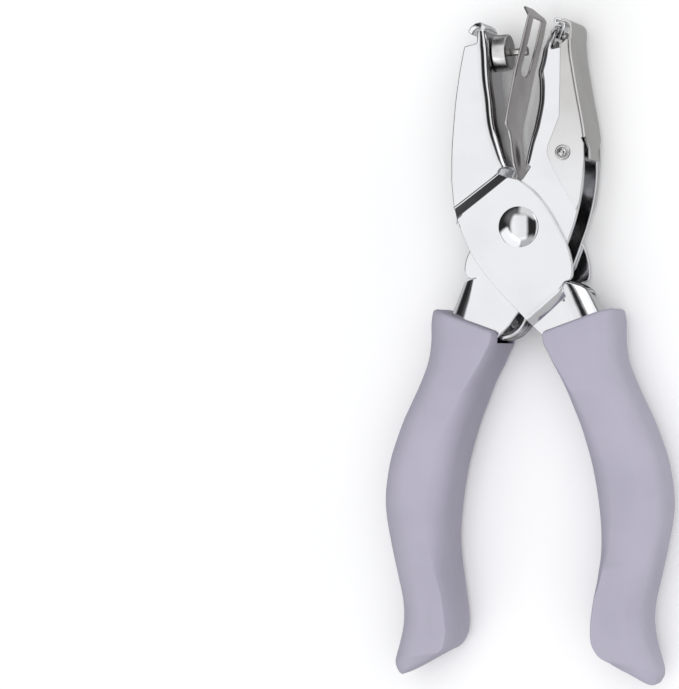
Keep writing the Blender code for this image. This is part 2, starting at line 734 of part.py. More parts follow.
def build_die_bush(axis):
    """The hardened bush that the punch enters, through the die jaw's web."""
    behind = SHEET + BUSH_BEHIND
    bush = ring("die_bush", DIE_HOLE_RADIUS, BUSH_RADIUS, -BUSH_PROUD, behind, die_line(0), DIE_DIRECTION)
    hang(bush, axis)
    settle(bush, PARTS, STEEL)


def build_stripper(axis):
    """The thin leaf that holds the paper back, with its slot, its bent lip and its loop."""
    loop_radius = SLEEVE_RADIUS + FIT + STRIPPER_SHEET / 2
    turns = [LOOP_OPEN_FROM + (LOOP_OPEN_TO - LOOP_OPEN_FROM) * i / LOOP_STEPS for i in range(LOOP_STEPS + 1)]
    loop = [(loop_radius * cos(turn), loop_radius * sin(turn)) for turn in turns]
    points = STRIPPER + loop
    high = [STRIPPER_HALF_WIDTH * share for share in STRIPPER_WIDTH_SHARES]
    high += [STRIPPER_ARM_HALF_WIDTH] * (len(points) - len(high))
    stripper = leaf("stripper", points, [-z for z in high], high, STRIPPER_SHEET)
    back_corner = stripper.data.vertices[0]
    back_corner.co.x, back_corner.co.y = (share * JAW_REACH for share in STRIPPER_LIP_BACK_SHARE)
    reach = STRIPPER_SLOT_HALF_WIDTH
    foot = PUNCH_HEIGHT - STRIPPER_SLOT_BELOW_PUNCH + reach
    top = PUNCH_HEIGHT + STRIPPER_SLOT_ABOVE_PUNCH
    across = JAW_REACH / 2
    cut(stripper, block("slot_box", (-across, foot, -reach), (across, top, reach)))
    cut(stripper, rod("slot_foot", reach, 2 * across, (0, foot, MID_HEIGHT), (1, 0, 0), ROUND_STEPS))
    hang(stripper, axis)
    settle(stripper, PARTS, SATIN)


def build_chip_cover(axis):
    """The thin channel that swings on its own pin and keeps the chips in the die jaw."""
    skin = HalfSkin()
    flat_half = COVER_HALF_DEPTH - COVER_BEND
    roof_end = COVER_ROOF_POINTS
    roof = COVER_WEB[: roof_end + 1]
    skin.tongue(roof, [flat_half] * len(roof))
    crease = skin.web(COVER_WEB[roof_end:], COVER_HALF_DEPTH, COVER_BEND, -1)
    skin.flat(crease + COVER_FLANK, COVER_HALF_DEPTH)
    tab = [COVER_WEB[-1]] + COVER_TAB
    skin.face([(*tab[0], 0), (*tab[1], 0), (*tab[1], COVER_TAB_HALF_WIDTH), (*tab[0], flat_half)])
    skin.tongue(tab[1:], [COVER_TAB_HALF_WIDTH] * 2)
    cover = skin.sheet("chip_cover", COVER_SHEET)
    place = (COVER_HINGE_X, COVER_HINGE_Y, MID_HEIGHT)
    cut(cover, rod("hinge_hole_in_cover", EYELET_NECK_RADIUS + FIT, 4 * COVER_HALF_DEPTH, place))
    hang(cover, axis)
    settle(cover, PARTS, SATIN)


def build_cover_hinge(axis):
    """The pin through the die jaw and the two eyelets that the cover turns on."""
    place = (COVER_HINGE_X, COVER_HINGE_Y, MID_HEIGHT)
    neck_foot = LEVER_HALF_DEPTH - SHEET
    flange_foot = COVER_HALF_DEPTH + SEAT
    flange_top = flange_foot + EYELET_FLANGE
    bore = HINGE_PIN_RADIUS + SNUG
    eyelet = [
        (EYELET_RADIUS, flange_top),
        (EYELET_RADIUS, flange_foot),
        (EYELET_NECK_RADIUS, flange_foot),
        (EYELET_NECK_RADIUS, neck_foot),
        (bore, neck_foot),
        (bore, flange_top),
    ]
    for name, toward in (("cover_hinge_eyelet_front", (0, 0, 1)), ("cover_hinge_eyelet_back", (0, 0, -1))):
        piece = turned(name, eyelet, place, toward, closed=True)
        hang(piece, axis)
        settle(piece, PARTS, STEEL)
    top = dome(HINGE_PIN_RADIUS, HINGE_PIN_DOME, flange_top)
    pin = turned("cover_hinge_pin", top + [(r, -z) for r, z in reversed(top)], place)
    hang(pin, axis)
    settle(pin, PARTS, STEEL)


def build_catch(catch_axis, lever_axis):
    """The small leaf that holds the cover shut, with its rolled finger, and its rivet."""
    last, before = CATCH[-1], CATCH[-2]
    heading = atan2(last[1] - before[1], last[0] - before[0])
    centre_turn = heading + pi / 2
    centre = (
        last[0] + CATCH_FINGER_RADIUS * cos(centre_turn),
        last[1] + CATCH_FINGER_RADIUS * sin(centre_turn),
    )
    roll = []
    for step in range(1, CATCH_FINGER_STEPS + 1):
        turn = centre_turn + pi + CATCH_FINGER_TURN * step / CATCH_FINGER_STEPS
        roll.append((centre[0] + CATCH_FINGER_RADIUS * cos(turn), centre[1] + CATCH_FINGER_RADIUS * sin(turn)))
    points = catch_flat() + CATCH + roll
    high = [CATCH_HALF_WIDTH] * len(points)
    catch = leaf("cover_catch", points, [-z for z in high], high, CATCH_SHEET)
    place, toward = catch_seat(SHEET + FIT)
    cut(catch, rod("rivet_hole_in_catch", CATCH_RIVET_RADIUS + FIT, 4 * CATCH_SHEET, place, toward))
    hang(catch, catch_axis)
    settle(catch, PARTS, SATIN)
    inner = SHEET + 2 * FIT + CATCH_SHEET
    profile = [
        (0, inner + CATCH_RIVET_HEAD),
        (CATCH_RIVET_HEAD_RADIUS, inner + CATCH_RIVET_HEAD),
        (CATCH_RIVET_HEAD_RADIUS, inner),
        (CATCH_RIVET_RADIUS, inner),
        (CATCH_RIVET_RADIUS, 0),
        (0, 0),
    ]
    place, toward = catch_seat(0)
    rivet = turned("catch_rivet", profile, place, toward, steps=SMALL_ROUND_STEPS)
    hang(rivet, lever_axis)
    settle(rivet, PARTS, STEEL)


def spring_route():
    """The spring's middle line: leg in the right handle, coils, leg in the left handle."""
    rise = 2 * SPRING_HALF_RISE
    least_pitch = 2 * SPRING_WIRE_RADIUS + SPRING_CURL_GAP
    full_turn = 2 * pi
    curls = floor(rise / least_pitch - SPRING_PART_TURN / full_turn)
    whole_turn = curls * full_turn + SPRING_PART_TURN
    count = round(whole_turn / full_turn * SPRING_POINTS_PER_TURN)
    coil = []
    for i in range(count + 1):
        turn = SPRING_START + whole_turn * i / count
        height = SPRING_HALF_RISE - rise * i / count
        coil.append((SPRING_X + SPRING_RADIUS * cos(turn), SPRING_Y + SPRING_RADIUS * sin(turn), height))
    right = [(x, y, SPRING_HALF_RISE) for x, y in SPRING_RIGHT_LEG]
    left = [(x, y, -SPRING_HALF_RISE) for x, y in SPRING_LEFT_LEG]
    return right + coil + left


def build_spring(axis):
    """The torsion spring that opens the handles."""
    route = spring_route()
    wire = bpy.data.curves.new("return_spring", "CURVE")
    wire.dimensions = "3D"
    wire.bevel_depth = SPRING_WIRE_RADIUS
    wire.bevel_resolution = 1
    wire.use_fill_caps = True
    line = wire.splines.new("POLY")
    line.points.add(len(route) - 1)
    for point, place in zip(line.points, route):
        point.co = (*place, 1)
    spring = bpy.data.objects.new("return_spring", wire)
    spring.location = (0, 0, MID_HEIGHT)
    PARTS.objects.link(spring)
    wire.materials.append(STEEL)
    hang(spring, axis)
    least = min(
        (Vector(a) - Vector(b)).length
        for i, a in enumerate(route)
        for b in route[i + SPRING_POINTS_PER_TURN // 2 :]
    )
    print(f"least gap of the spring to itself: {(least - 2 * SPRING_WIRE_RADIUS) * 1000:.2f} mm")


def grip_ring(outer, inner, half_depth, corner):
    """One section of a grip: a rounded box from its outer to its inner corner."""
    places = []
    centre = ((outer[0] + inner[0]) / 2, (outer[1] + inner[1]) / 2)
    half = hypot(outer[0] - inner[0], outer[1] - inner[1]) / 2
    along = ((outer[0] - centre[0]) / half, (outer[1] - centre[1]) / half)
    for quarter, (across_sign, depth_sign) in enumerate(((1, 1), (-1, 1), (-1, -1), (1, -1))):
        for step in range(GRIP_CORNER_STEPS + 1):
            turn = pi / 2 * (quarter + step / GRIP_CORNER_STEPS)
            across = across_sign * (half - corner) + corner * cos(turn)
            depth = depth_sign * (half_depth - corner) + corner * sin(turn)
            places.append((centre[0] + along[0] * across, centre[1] + along[1] * across, depth))
    return places


def build_grip(name, side, axis=None):
    """A vinyl sleeve over a handle; side is 1 on the right and -1 on the left."""
    shape = bmesh.new()
    sections = [scaled(pair, HANDLE_REACH) for pair in GRIP_SECTION_SHARES]
    rings = []
    last = len(sections) - 1
    for i, (outer, inner) in enumerate(sections):
        half_depth = GRIP_HALF_DEPTH
        if i in (0, last):
            half_depth -= GRIP_END_ROUND
        places = grip_ring((side * outer[0], outer[1]), (side * inner[0], inner[1]), half_depth, GRIP_CORNER)
        rings.append([shape.verts.new(place) for place in places])
    for upper, lower in zip(rings, rings[1:]):
        for i in range(len(upper)):
            following = (i + 1) % len(upper)
            shape.faces.new((upper[i], upper[following], lower[following], lower[i]))
    shape.faces.new(rings[0])
    shape.faces.new(rings[-1])
    bmesh.ops.recalc_face_normals(shape, faces=shape.faces)
    grip = mesh_object(name, shape)
    web = shifted_line(HANDLE_WEB, FIT, 1)
    edge = shifted_line(HANDLE_EDGE, FIT, -1)
    foot = web[-1][1] - FIT
    web.append((web[-1][0], foot))
    edge.insert(0, (edge[0][0], foot))
    mouth = [(x, y + GRIP_ROOM_RISE) for x, y in LOWER_FOOT[:1]]
    if side < 0:
        web, edge, mouth = mirrored(web), mirrored(edge), mirrored(mouth)
    room = closed_channel(
        name + "_room", web, edge + mouth, LEVER_HALF_DEPTH + FIT, HANDLE_BEND, -side
    )
    cut(grip, room)
    coil_room = SPRING_RADIUS + SPRING_WIRE_RADIUS + 2 * FIT
    coil_place = (-side * SPRING_X, SPRING_Y, MID_HEIGHT)
    cut(grip, rod(name + "_coil_room", coil_room, 2 * LEVER_HALF_DEPTH, coil_place, steps=ROUND_STEPS))
    if axis:
        hang(grip, axis)
    settle(grip, PARTS, VINYL)


for old in list(bpy.data.objects):
    bpy.data.objects.remove(old, do_unlink=True)

PARTS = collection("circle_hand_punch")
CUTTERS = collection("cutters")
CHROME = finish("bright_chrome", (0.80, 0.80, 0.81), 0.12, 1.0)
SATIN = finish("satin_plate", (0.55, 0.54, 0.53), 0.38, 1.0)
STEEL = finish("plain_steel", (0.62, 0.62, 0.62), 0.30, 1.0)
VINYL = finish("lavender_vinyl", (0.43, 0.40, 0.52), 0.55, 0.0)

PUNCH_JAW_WEB = scaled(PUNCH_JAW_WEB_SHARES, JAW_REACH)
PUNCH_JAW_EDGE = scaled(PUNCH_JAW_EDGE_SHARES, JAW_REACH)
UPPER_FOOT = scaled(UPPER_FOOT_SHARES, PLATE_REACH)
UPPER_TOP = scaled(UPPER_TOP_SHARES, PLATE_REACH)
LOWER_TOP = scaled(LOWER_TOP_SHARES, PLATE_REACH)
LOWER_FOOT = scaled(LOWER_FOOT_SHARES, PLATE_REACH)
PLATE_RIGHT = scaled(PLATE_RIGHT_SHARES, PLATE_REACH)
PLATE_LEFT = scaled(PLATE_LEFT_SHARES, PLATE_REACH)
HANDLE_WEB = scaled(HANDLE_WEB_SHARES, HANDLE_REACH)
HANDLE_EDGE = scaled(HANDLE_EDGE_SHARES, HANDLE_REACH)
DIE_JAW_WEB = scaled(DIE_JAW_WEB_SHARES, JAW_REACH)
DIE_JAW_EDGE = scaled(DIE_JAW_EDGE_SHARES, JAW_REACH)
DIE_PLATE_LEFT = scaled(DIE_PLATE_LEFT_SHARES, PLATE_REACH)
DIE_PLATE_RIGHT = scaled(DIE_PLATE_RIGHT_SHARES, PLATE_REACH)
STRIPPER = scaled(STRIPPER_SHARES, JAW_REACH)
COVER_WEB = scaled(COVER_WEB_SHARES, JAW_REACH)
COVER_TAB = scaled(COVER_TAB_SHARES, JAW_REACH)
COVER_FLANK = scaled(COVER_FLANK_SHARES, JAW_REACH)
CATCH = scaled(CATCH_SHARES, JAW_REACH)
SPRING_RIGHT_LEG = scaled(SPRING_RIGHT_LEG_SHARES, HANDLE_REACH)
SPRING_LEFT_LEG = scaled(SPRING_LEFT_LEG_SHARES, HANDLE_REACH)

DIE_X, DIE_Y, DIE_HEADING = die_start()
DIE_DIRECTION = (cos(DIE_HEADING), sin(DIE_HEADING), 0)

LEVER_AXIS = axis_empty("die_lever_axis", 0, 0)
STRIPPER_AXIS = axis_empty("stripper_axis", 0, 0)
COVER_AXIS = axis_empty("cover_axis", COVER_HINGE_X, COVER_HINGE_Y)
CATCH_PLACE = catch_seat(SHEET + FIT + CATCH_SHEET / 2)[0]
CATCH_AXIS = axis_empty("catch_axis", CATCH_PLACE[0], CATCH_PLACE[1])
for following in (COVER_AXIS, CATCH_AXIS):
    hang(following, LEVER_AXIS)

build_punch_lever()
build_die_lever(LEVER_AXIS)
build_pivot()
build_punch()
build_die_bush(LEVER_AXIS)
build_stripper(STRIPPER_AXIS)
build_chip_cover(COVER_AXIS)
build_cover_hinge(LEVER_AXIS)
build_catch(CATCH_AXIS, LEVER_AXIS)
build_spring(LEVER_AXIS)
build_grip("right_grip", 1)
build_grip("left_grip", -1, LEVER_AXIS)
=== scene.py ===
"""Circle hand punch: two chromed levers, punch, stripper, chip cover, catch, spring and vinyl grips.

Sizes are in millimetres from the pivot's axis, at the middle of the tool's depth, and become
metres where a mesh is made. +X is the die side, +Y the jaws and +Z the front.
"""

import logging
from collections.abc import Sequence
from dataclasses import dataclass
from enum import Enum
from math import acos, atan2, cos, hypot, pi, radians, sin
from typing import Any

import bmesh
import bpy
from mathutils import Matrix, Vector

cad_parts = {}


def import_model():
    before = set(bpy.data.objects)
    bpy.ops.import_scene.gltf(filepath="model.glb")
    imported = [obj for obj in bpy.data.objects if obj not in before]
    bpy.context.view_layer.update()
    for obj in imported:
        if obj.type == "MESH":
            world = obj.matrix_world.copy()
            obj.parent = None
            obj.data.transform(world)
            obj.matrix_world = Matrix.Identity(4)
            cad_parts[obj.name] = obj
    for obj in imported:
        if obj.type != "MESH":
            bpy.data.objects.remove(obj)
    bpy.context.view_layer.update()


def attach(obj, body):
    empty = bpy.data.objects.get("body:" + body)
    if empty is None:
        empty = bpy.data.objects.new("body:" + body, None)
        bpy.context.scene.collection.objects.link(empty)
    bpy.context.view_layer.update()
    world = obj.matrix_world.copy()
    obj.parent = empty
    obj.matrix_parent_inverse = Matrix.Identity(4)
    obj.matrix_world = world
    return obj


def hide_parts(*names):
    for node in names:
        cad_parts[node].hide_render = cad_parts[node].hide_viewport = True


LOG = logging.getLogger("circle_hand_punch")
# A millimetre in metres, and how high the middle of the tool's depth lies over the floor
MM = 0.001
MID_HEIGHT = 9.0
# How many pieces each stretch between an outline's points is divided into, and each of a handle's or grip's
STEPS = 4
LONG_STEPS = 3
# Corners are shared where they agree to one part in this many of a millimetre, and sewn within this distance
CORNER_GRID = 2000
SEAM = 0.001
# How many rows a moved start of a web fades over, and how many faces each soft bend of a joggle has
FADE = 7
JOGGLE_STEPS = 6
# Edges sharper than this are rounded, and by this much on a thin leaf
SHARP_EDGE = radians(50)
LEAF_ROUNDING = 0.10
# Corners of a profile that stay as they are, and how much of a short side a rounded one takes
NEARLY_STRAIGHT = radians(160)
SHORT_SIDE = 0.45
# A point of a profile that is nearer than this lies on the axis, and edges below this are shaded smooth
ON_AXIS = 1e-6
SMOOTH_BELOW = radians(40)

Point = tuple[float, float]
Place = tuple[float, float, float]
Line = list[Point]
Outline = tuple[Point, ...]

ACROSS: Place = (1.0, 0.0, 0.0)
ALONG: Place = (0.0, 1.0, 0.0)
FRONT: Place = (0.0, 0.0, 1.0)


class Body(Enum):
    """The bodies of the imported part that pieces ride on."""

    PUNCH = "punch_side"
    DIE = "die_side"
    STRIPPER = "stripper_leaf"
    COVER = "cover"
    CATCH = "catch"


class Slot(Enum):
    """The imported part's material slots."""

    CHROME = "chrome_sheet"
    STEEL = "plain_steel"
    SATIN = "satin_leaf"
    VINYL = "lavender_vinyl"


class Side(Enum):
    """Which side of the pivot a grip is on."""

    RIGHT = 1
    LEFT = -1


# Shader nodes


class Signal:
    """A number socket, on which Python's operators add Math nodes."""

    def __init__(self, graph: "Graph", socket: bpy.types.NodeSocket) -> None:
        """Wrap a socket of a graph."""
        self.graph = graph
        self.socket = socket

    def _math(self, operation: str, first: Any, second: Any = 0.0, clamp: bool = False) -> "Signal":
        """Add a Math node.

        Args:
            operation: The node's operation.
            first: Its first value or signal.
            second: Its second value or signal.
            clamp: Whether the result is kept between 0 and 1.

        Returns:
            The node's result.
        """
        settings = {"operation": operation, "use_clamp": clamp}
        node = self.graph.node("ShaderNodeMath", settings, {0: first, 1: second})
        return Signal(self.graph, node.outputs[0])

    def __add__(self, other: Any) -> "Signal":
        """This plus other."""
        return self._math("ADD", self, other)

    __radd__ = __add__

    def __sub__(self, other: Any) -> "Signal":
        """This minus other."""
        return self._math("SUBTRACT", self, other)

    def __rsub__(self, other: Any) -> "Signal":
        """Other minus this."""
        return self._math("SUBTRACT", other, self)

    def __mul__(self, other: Any) -> "Signal":
        """This times other."""
        return self._math("MULTIPLY", self, other)

    __rmul__ = __mul__

    def size(self) -> "Signal":
        """This without its sign."""
        return self._math("ABSOLUTE", self)

    def angle_from(self, other: "Signal") -> "Signal":
        """The angle of a direction with this much across and other much ahead, in radians."""
        return self._math("ARCTAN2", self, other)

    def wave(self, turns: float) -> "Signal":
        """The sine of this times a number, from 0 to 1."""
        return self._math("SINE", self * turns) * 0.5 + 0.5

    def step_up(self, low: float, high: float) -> "Signal":
        """0 below low, 1 above high, and straight between them."""
        return self._math("MULTIPLY", self - low, 1.0 / (high - low), clamp=True)


class Graph:
    """A node tree to which nodes are added by type, settings and sockets."""

    def __init__(self, tree: bpy.types.NodeTree) -> None:
        """Start from an empty tree."""
        self.tree = tree
        tree.nodes.clear()

    def node(self, kind: str, settings: dict | None = None, inputs: dict | None = None) -> bpy.types.Node:
        """Add one node.

        Args:
            kind: The node's type.
            settings: Its own settings.
            inputs: Values, signals or sockets by input name or number.

        Returns:
            The node.
        """
        node = self.tree.nodes.new(kind)
        for name, value in (settings or {}).items():
            setattr(node, name, value)
        for name, value in (inputs or {}).items():
            socket = node.inputs[name]
            if isinstance(value, Signal):
                value = value.socket
            if isinstance(value, bpy.types.NodeSocket):
                self.tree.links.new(value, socket)
            else:
                socket.default_value = value
        return node

    def vector(self, operation: str, *places: Any) -> bpy.types.Node:
        """A Vector Math node on one or two places."""
        return self.node("ShaderNodeVectorMath", {"operation": operation}, dict(enumerate(places)))

    def place(self) -> bpy.types.NodeSocket:
        """The place on the piece, in metres, at rest."""
        return self.node("ShaderNodeTexCoord").outputs["Object"]

    def stretched(self, place: bpy.types.NodeSocket, scale: Place) -> bpy.types.NodeSocket:
        """The place with its axes scaled."""
        return self.vector("MULTIPLY", place, scale).outputs[0]

    def share_of(self, place: bpy.types.NodeSocket, axis: Place) -> Signal:
        """How far a place lies along an axis."""
        return Signal(self, self.vector("DOT_PRODUCT", place, axis).outputs["Value"])

    def facing(self, axis: Place) -> Signal:
        """How much the surface faces along an axis, from -1 to 1."""
        return self.share_of(self.node("ShaderNodeNewGeometry").outputs["Normal"], axis)

    def noise(self, place: bpy.types.NodeSocket, scale: float, detail: float = 3.0) -> Signal:
        """Soft noise from 0 to 1."""
        inputs = {"Vector": place, "Scale": scale, "Detail": detail}
        return Signal(self, self.node("ShaderNodeTexNoise", None, inputs).outputs[0])

    def streaks(self, place: bpy.types.NodeSocket, scale: Place, detail: float = 3.0) -> Signal:
        """Soft noise that is drawn out, with a scale for each axis."""
        return self.noise(self.stretched(place, scale), 1.0, detail)

    def cells(self, place: bpy.types.NodeSocket, scale: float) -> Signal:
        """Distance to the nearest of scattered points."""
        node = self.node("ShaderNodeTexVoronoi", None, {"Vector": place, "Scale": scale})
        return Signal(self, node.outputs["Distance"])

    def mix(self, factor: Signal, low: Any, high: Place) -> bpy.types.NodeSocket:
        """A colour between a plain or a varying one and a plain one.

        Args:
            factor: 0 where the first shows and 1 where the second does.
            low: The first colour, or the socket that gives it.
            high: The second colour.

        Returns:
            The mixed colour.
        """
        first = (*low, 1.0) if isinstance(low, tuple) else low
        inputs = {0: factor, 6: first, 7: (*high, 1.0)}
        return self.node("ShaderNodeMix", {"data_type": "RGBA"}, inputs).outputs[2]

    def bump(self, height: Signal, strength: float, distance: float) -> bpy.types.NodeSocket:
        """A normal from a height."""
        inputs = {"Height": height, "Strength": strength, "Distance": distance}
        return self.node("ShaderNodeBump", None, inputs).outputs[0]

    def output(self, kind: str, shader: bpy.types.Node) -> None:
        """End the tree in its output."""
        self.node(kind, None, {"Surface": shader.outputs[0]})


# Finishes


@dataclass(frozen=True)
class Finish:
    """A finish that makes its material once. Scales are counts in a metre."""

    name: str
    slot: Slot | None
    metallic: float = 1.0

    def material(self) -> bpy.types.Material:
        """The material, made on first use.

        Returns:
            The material, which all pieces with this finish share.
        """
        found = bpy.data.materials.get(self.name)
        if found:
            return found
        made = bpy.data.materials.new(self.name)
        made.use_nodes = True
        graph = Graph(made.node_tree)
        inputs = {"Metallic": self.metallic, **self.inputs(graph)}
        graph.output("ShaderNodeOutputMaterial", graph.node("ShaderNodeBsdfPrincipled", None, inputs))
        return made

    def inputs(self, graph: Graph) -> dict[str, Any]:
        """The surface shader's values and signals.

        Args:
            graph: The material's graph.

        Returns:
            What each of its sockets gets, by name.
        """
        raise NotImplementedError


@dataclass(frozen=True)
class BrightChrome(Finish):
    """Polished chrome plate: faint smudges, a gentle ripple, a few pits and painted shade on the jaws' webs
    where they face each other.
    """

    name: str = "bright_chrome_plate"
    slot: Slot = Slot.CHROME
    colour: Place = (0.86, 0.86, 0.87)
    # Painted shade: the dark colour of the jaws' webs where they face each other
    dull: Place = (0.76, 0.76, 0.78)
    thin: Place = (0.30, 0.295, 0.30)
    polish: float = 0.06
    smear: float = 0.06
    smudges: float = 90.0
    pitting: float = 260.0
    ripples: float = 140.0
    fine_ripples: float = 1500.0
    wiping: Place = (900.0, 120.0, 900.0)
    ripple_depth: float = 0.0004

    def painted_jaw_shade(self, graph: Graph, place: bpy.types.NodeSocket) -> Signal:
        """Where shade is painted: on both jaws' webs, where they face each other.

        Args:
            graph: The material's graph.
            place: The place on the piece.

        Returns:
            1 there and 0 elsewhere.
        """
        facing = graph.facing(ACROSS)
        across = graph.share_of(place, ACROSS)
        left = facing.step_up(0.9, 0.97) * (1 - across.step_up(-0.0035, -0.002))
        right = (0 - facing).step_up(0.75, 0.95) * across.step_up(-0.001, 0.0)
        return (left + right) * graph.share_of(place, ALONG).step_up(0.010, 0.014)

    def inputs(self, graph: Graph) -> dict[str, Any]:
        """Chrome whose gloss and tone drift a little, as Finish.inputs gives them."""
        place = graph.place()
        # Painted shade between the jaws: the facing webs get the dark colour, and more roughness too
        inside = self.painted_jaw_shade(graph, place)
        smudge = graph.noise(place, self.smudges, 4.0).step_up(0.45, 0.75)
        pits = 1 - graph.cells(place, self.pitting).step_up(0.03, 0.08)
        ripple = graph.noise(place, self.ripples, 2.0) + graph.noise(place, self.fine_ripples, 2.0) * 0.04
        wipe = graph.streaks(place, self.wiping)
        tone = graph.mix(smudge * 0.5 + pits * 0.4, self.colour, self.dull)
        return {
            "Base Color": graph.mix(inside, tone, self.thin),
            "Roughness": smudge * self.smear + wipe * 0.03 + inside * 0.12 + self.polish,
            "Normal": graph.bump(ripple - pits * 0.05, 0.25, self.ripple_depth),
        }


@dataclass(frozen=True)
class SatinPlate(Finish):
    """Thin sheet with a satin nickel finish, a fine grain along its length and a painted highlight on the
    faces that face front and behind, towards the foot.
    """

    name: str = "satin_nickel_plate"
    slot: Slot = Slot.SATIN
    colour: Place = (0.70, 0.69, 0.67)
    dull: Place = (0.61, 0.595, 0.575)
    # Painted highlight: the colour of faces that face front or behind, low down
    bright: Place = (0.88, 0.88, 0.885)
    polish: float = 0.22
    brushing: Place = (2600.0, 170.0, 2600.0)
    clouds: float = 120.0
    grain_depth: float = 0.00003
    sheen_foot: float = 0.009
    sheen_top: float = 0.031

    def inputs(self, graph: Graph) -> dict[str, Any]:
        """Brushed metal, with a painted highlight on the faces that face front and behind, towards the pivot,
        as Finish.inputs gives it.
        """
        place = graph.place()
        grain = graph.streaks(place, self.brushing)
        cloud = graph.noise(place, self.clouds)
        above = graph.share_of(place, ALONG).step_up(self.sheen_foot, self.sheen_top)
        # Painted highlight: faces that face front or behind are lightened, fully below the foot height and
        # fading out by the top height
        painted_sheen = graph.facing(FRONT).size().step_up(0.5, 0.9) * (1 - above)
        tone = graph.mix(cloud.step_up(0.3, 0.75), self.colour, self.dull)
        return {
            "Base Color": graph.mix(painted_sheen, tone, self.bright),
            "Roughness": grain * 0.10 + cloud * 0.06 + self.polish,
            "Normal": graph.bump(grain, 0.18, self.grain_depth),
        }


@dataclass(frozen=True)
class TurnedSteel(Finish):
    """Bare turned steel, with rings round its own axis."""

    name: str = "turned_steel"
    slot: Slot = Slot.STEEL
    origin: Place = (0.0, 0.0, 0.0)
    toward: Place = (0.0, 0.0, 1.0)
    colour: Place = (0.74, 0.73, 0.72)
    dull: Place = (0.50, 0.49, 0.48)
    # Painted shade: the plain, darker colour that faces along the axis get
    end_face_shade: Place = (0.60, 0.59, 0.58)
    polish: float = 0.14
    ring_turns: float = 42000.0
    stains: float = 420.0
    ring_depth: float = 0.00002

    def inputs(self, graph: Graph) -> dict[str, Any]:
        """Steel with turning rings round its axis and plain end faces in a darker tone of painted shade, as
        Finish.inputs gives it.
        """
        place = graph.place()
        offset = graph.vector("SUBTRACT", place, tuple(value * MM for value in self.origin)).outputs[0]
        turned_place = graph.vector("CROSS_PRODUCT", offset, self.toward).outputs[0]
        radius = Signal(graph, graph.vector("LENGTH", turned_place).outputs["Value"])
        rings = (radius + graph.share_of(offset, self.toward)).wave(self.ring_turns)
        stain = graph.noise(place, self.stains, 4.0)
        side_tone = graph.mix(stain.step_up(0.4, 0.8), self.colour, self.dull)
        # Painted shade: faces that face along the axis take the plain, darker end colour
        end = graph.facing(self.toward).size().step_up(0.7, 0.95)
        return {
            "Base Color": graph.mix(end, side_tone, self.end_face_shade),
            "Roughness": rings * 0.08 + stain * 0.12 + self.polish,
            "Normal": graph.bump(rings, 0.12, self.ring_depth),
        }


@dataclass(frozen=True)
class DrawnWire(Finish):
    """Bright drawn spring wire."""

    name: str = "drawn_spring_wire"
    slot: Slot = Slot.STEEL
    colour: Place = (0.74, 0.74, 0.75)
    dull: Place = (0.45, 0.44, 0.43)
    polish: float = 0.12
    draw_marks: float = 2400.0
    clouds: float = 350.0
    mark_depth: float = 0.00002

    def inputs(self, graph: Graph) -> dict[str, Any]:
        """Wire with fine draw marks, as Finish.inputs gives it."""
        place = graph.place()
        marks = graph.noise(place, self.draw_marks, 2.0)
        cloud = graph.noise(place, self.clouds).step_up(0.5, 0.8)
        return {
            "Base Color": graph.mix(cloud, self.colour, self.dull),
            "Roughness": marks * 0.10 + self.polish,
            "Normal": graph.bump(marks, 0.10, self.mark_depth),
        }


@dataclass(frozen=True)
class LavenderVinyl(Finish):
    """Matte dipped vinyl: faint clouding, a fine skin grain and a few scuffs."""

    name: str = "lavender_dipped_vinyl"
    slot: Slot = Slot.VINYL
    metallic: float = 0.0
    colour: Place = (0.400, 0.380, 0.462)
    dull: Place = (0.355, 0.338, 0.415)
    matte: float = 0.48
    specular: float = 0.42
    clouds: float = 70.0
    skin_grain: float = 1900.0
    scuffing: Place = (500.0, 90.0, 300.0)
    grain_depth: float = 0.00008

    def inputs(self, graph: Graph) -> dict[str, Any]:
        """Soft plastic with a fine grain, as Finish.inputs gives it."""
        place = graph.place()
        cloud = graph.noise(place, self.clouds, 4.0)
        grain = graph.noise(place, self.skin_grain)
        scuff = graph.streaks(place, self.scuffing, 4.0).step_up(0.62, 0.82)
        return {
            "Base Color": graph.mix(cloud.step_up(0.3, 0.75) + scuff * 0.4, self.colour, self.dull),
            "Roughness": cloud * 0.10 + grain * 0.06 + scuff * 0.05 + self.matte,
            "Normal": graph.bump(grain * 0.5 + cloud, 0.16, self.grain_depth),
            "Specular IOR Level": self.specular,
        }


@dataclass(frozen=True)
class PaleFloor(Finish):
    """The plain pale studio floor, which isn't part of the tool."""

    name: str = "pale_floor"
    slot: None = None
    metallic: float = 0.0
    colour: Place = (0.90, 0.90, 0.90)
    dull: Place = (0.86, 0.86, 0.86)
    matte: float = 0.9
    clouds: float = 6.0

    def inputs(self, graph: Graph) -> dict[str, Any]:
        """An even matte floor, as Finish.inputs gives it."""
        tone = graph.noise(graph.place(), self.clouds, 2.0) * 0.1
        return {"Base Color": graph.mix(tone, self.colour, self.dull), "Roughness": self.matte}


CHROME = BrightChrome()
SATIN = SatinPlate()
# The stripper leaf: a darker satin, with the same painted highlight on its front- and back-facing edges
LEAF = SatinPlate(
    name="rubbed_spring_leaf",
    colour=(0.52, 0.50, 0.49),
    dull=(0.38, 0.355, 0.35),
    bright=(0.6, 0.6, 0.6),
    polish=0.16,
)
WIRE = DrawnWire()
VINYL = LavenderVinyl()


# Outlines


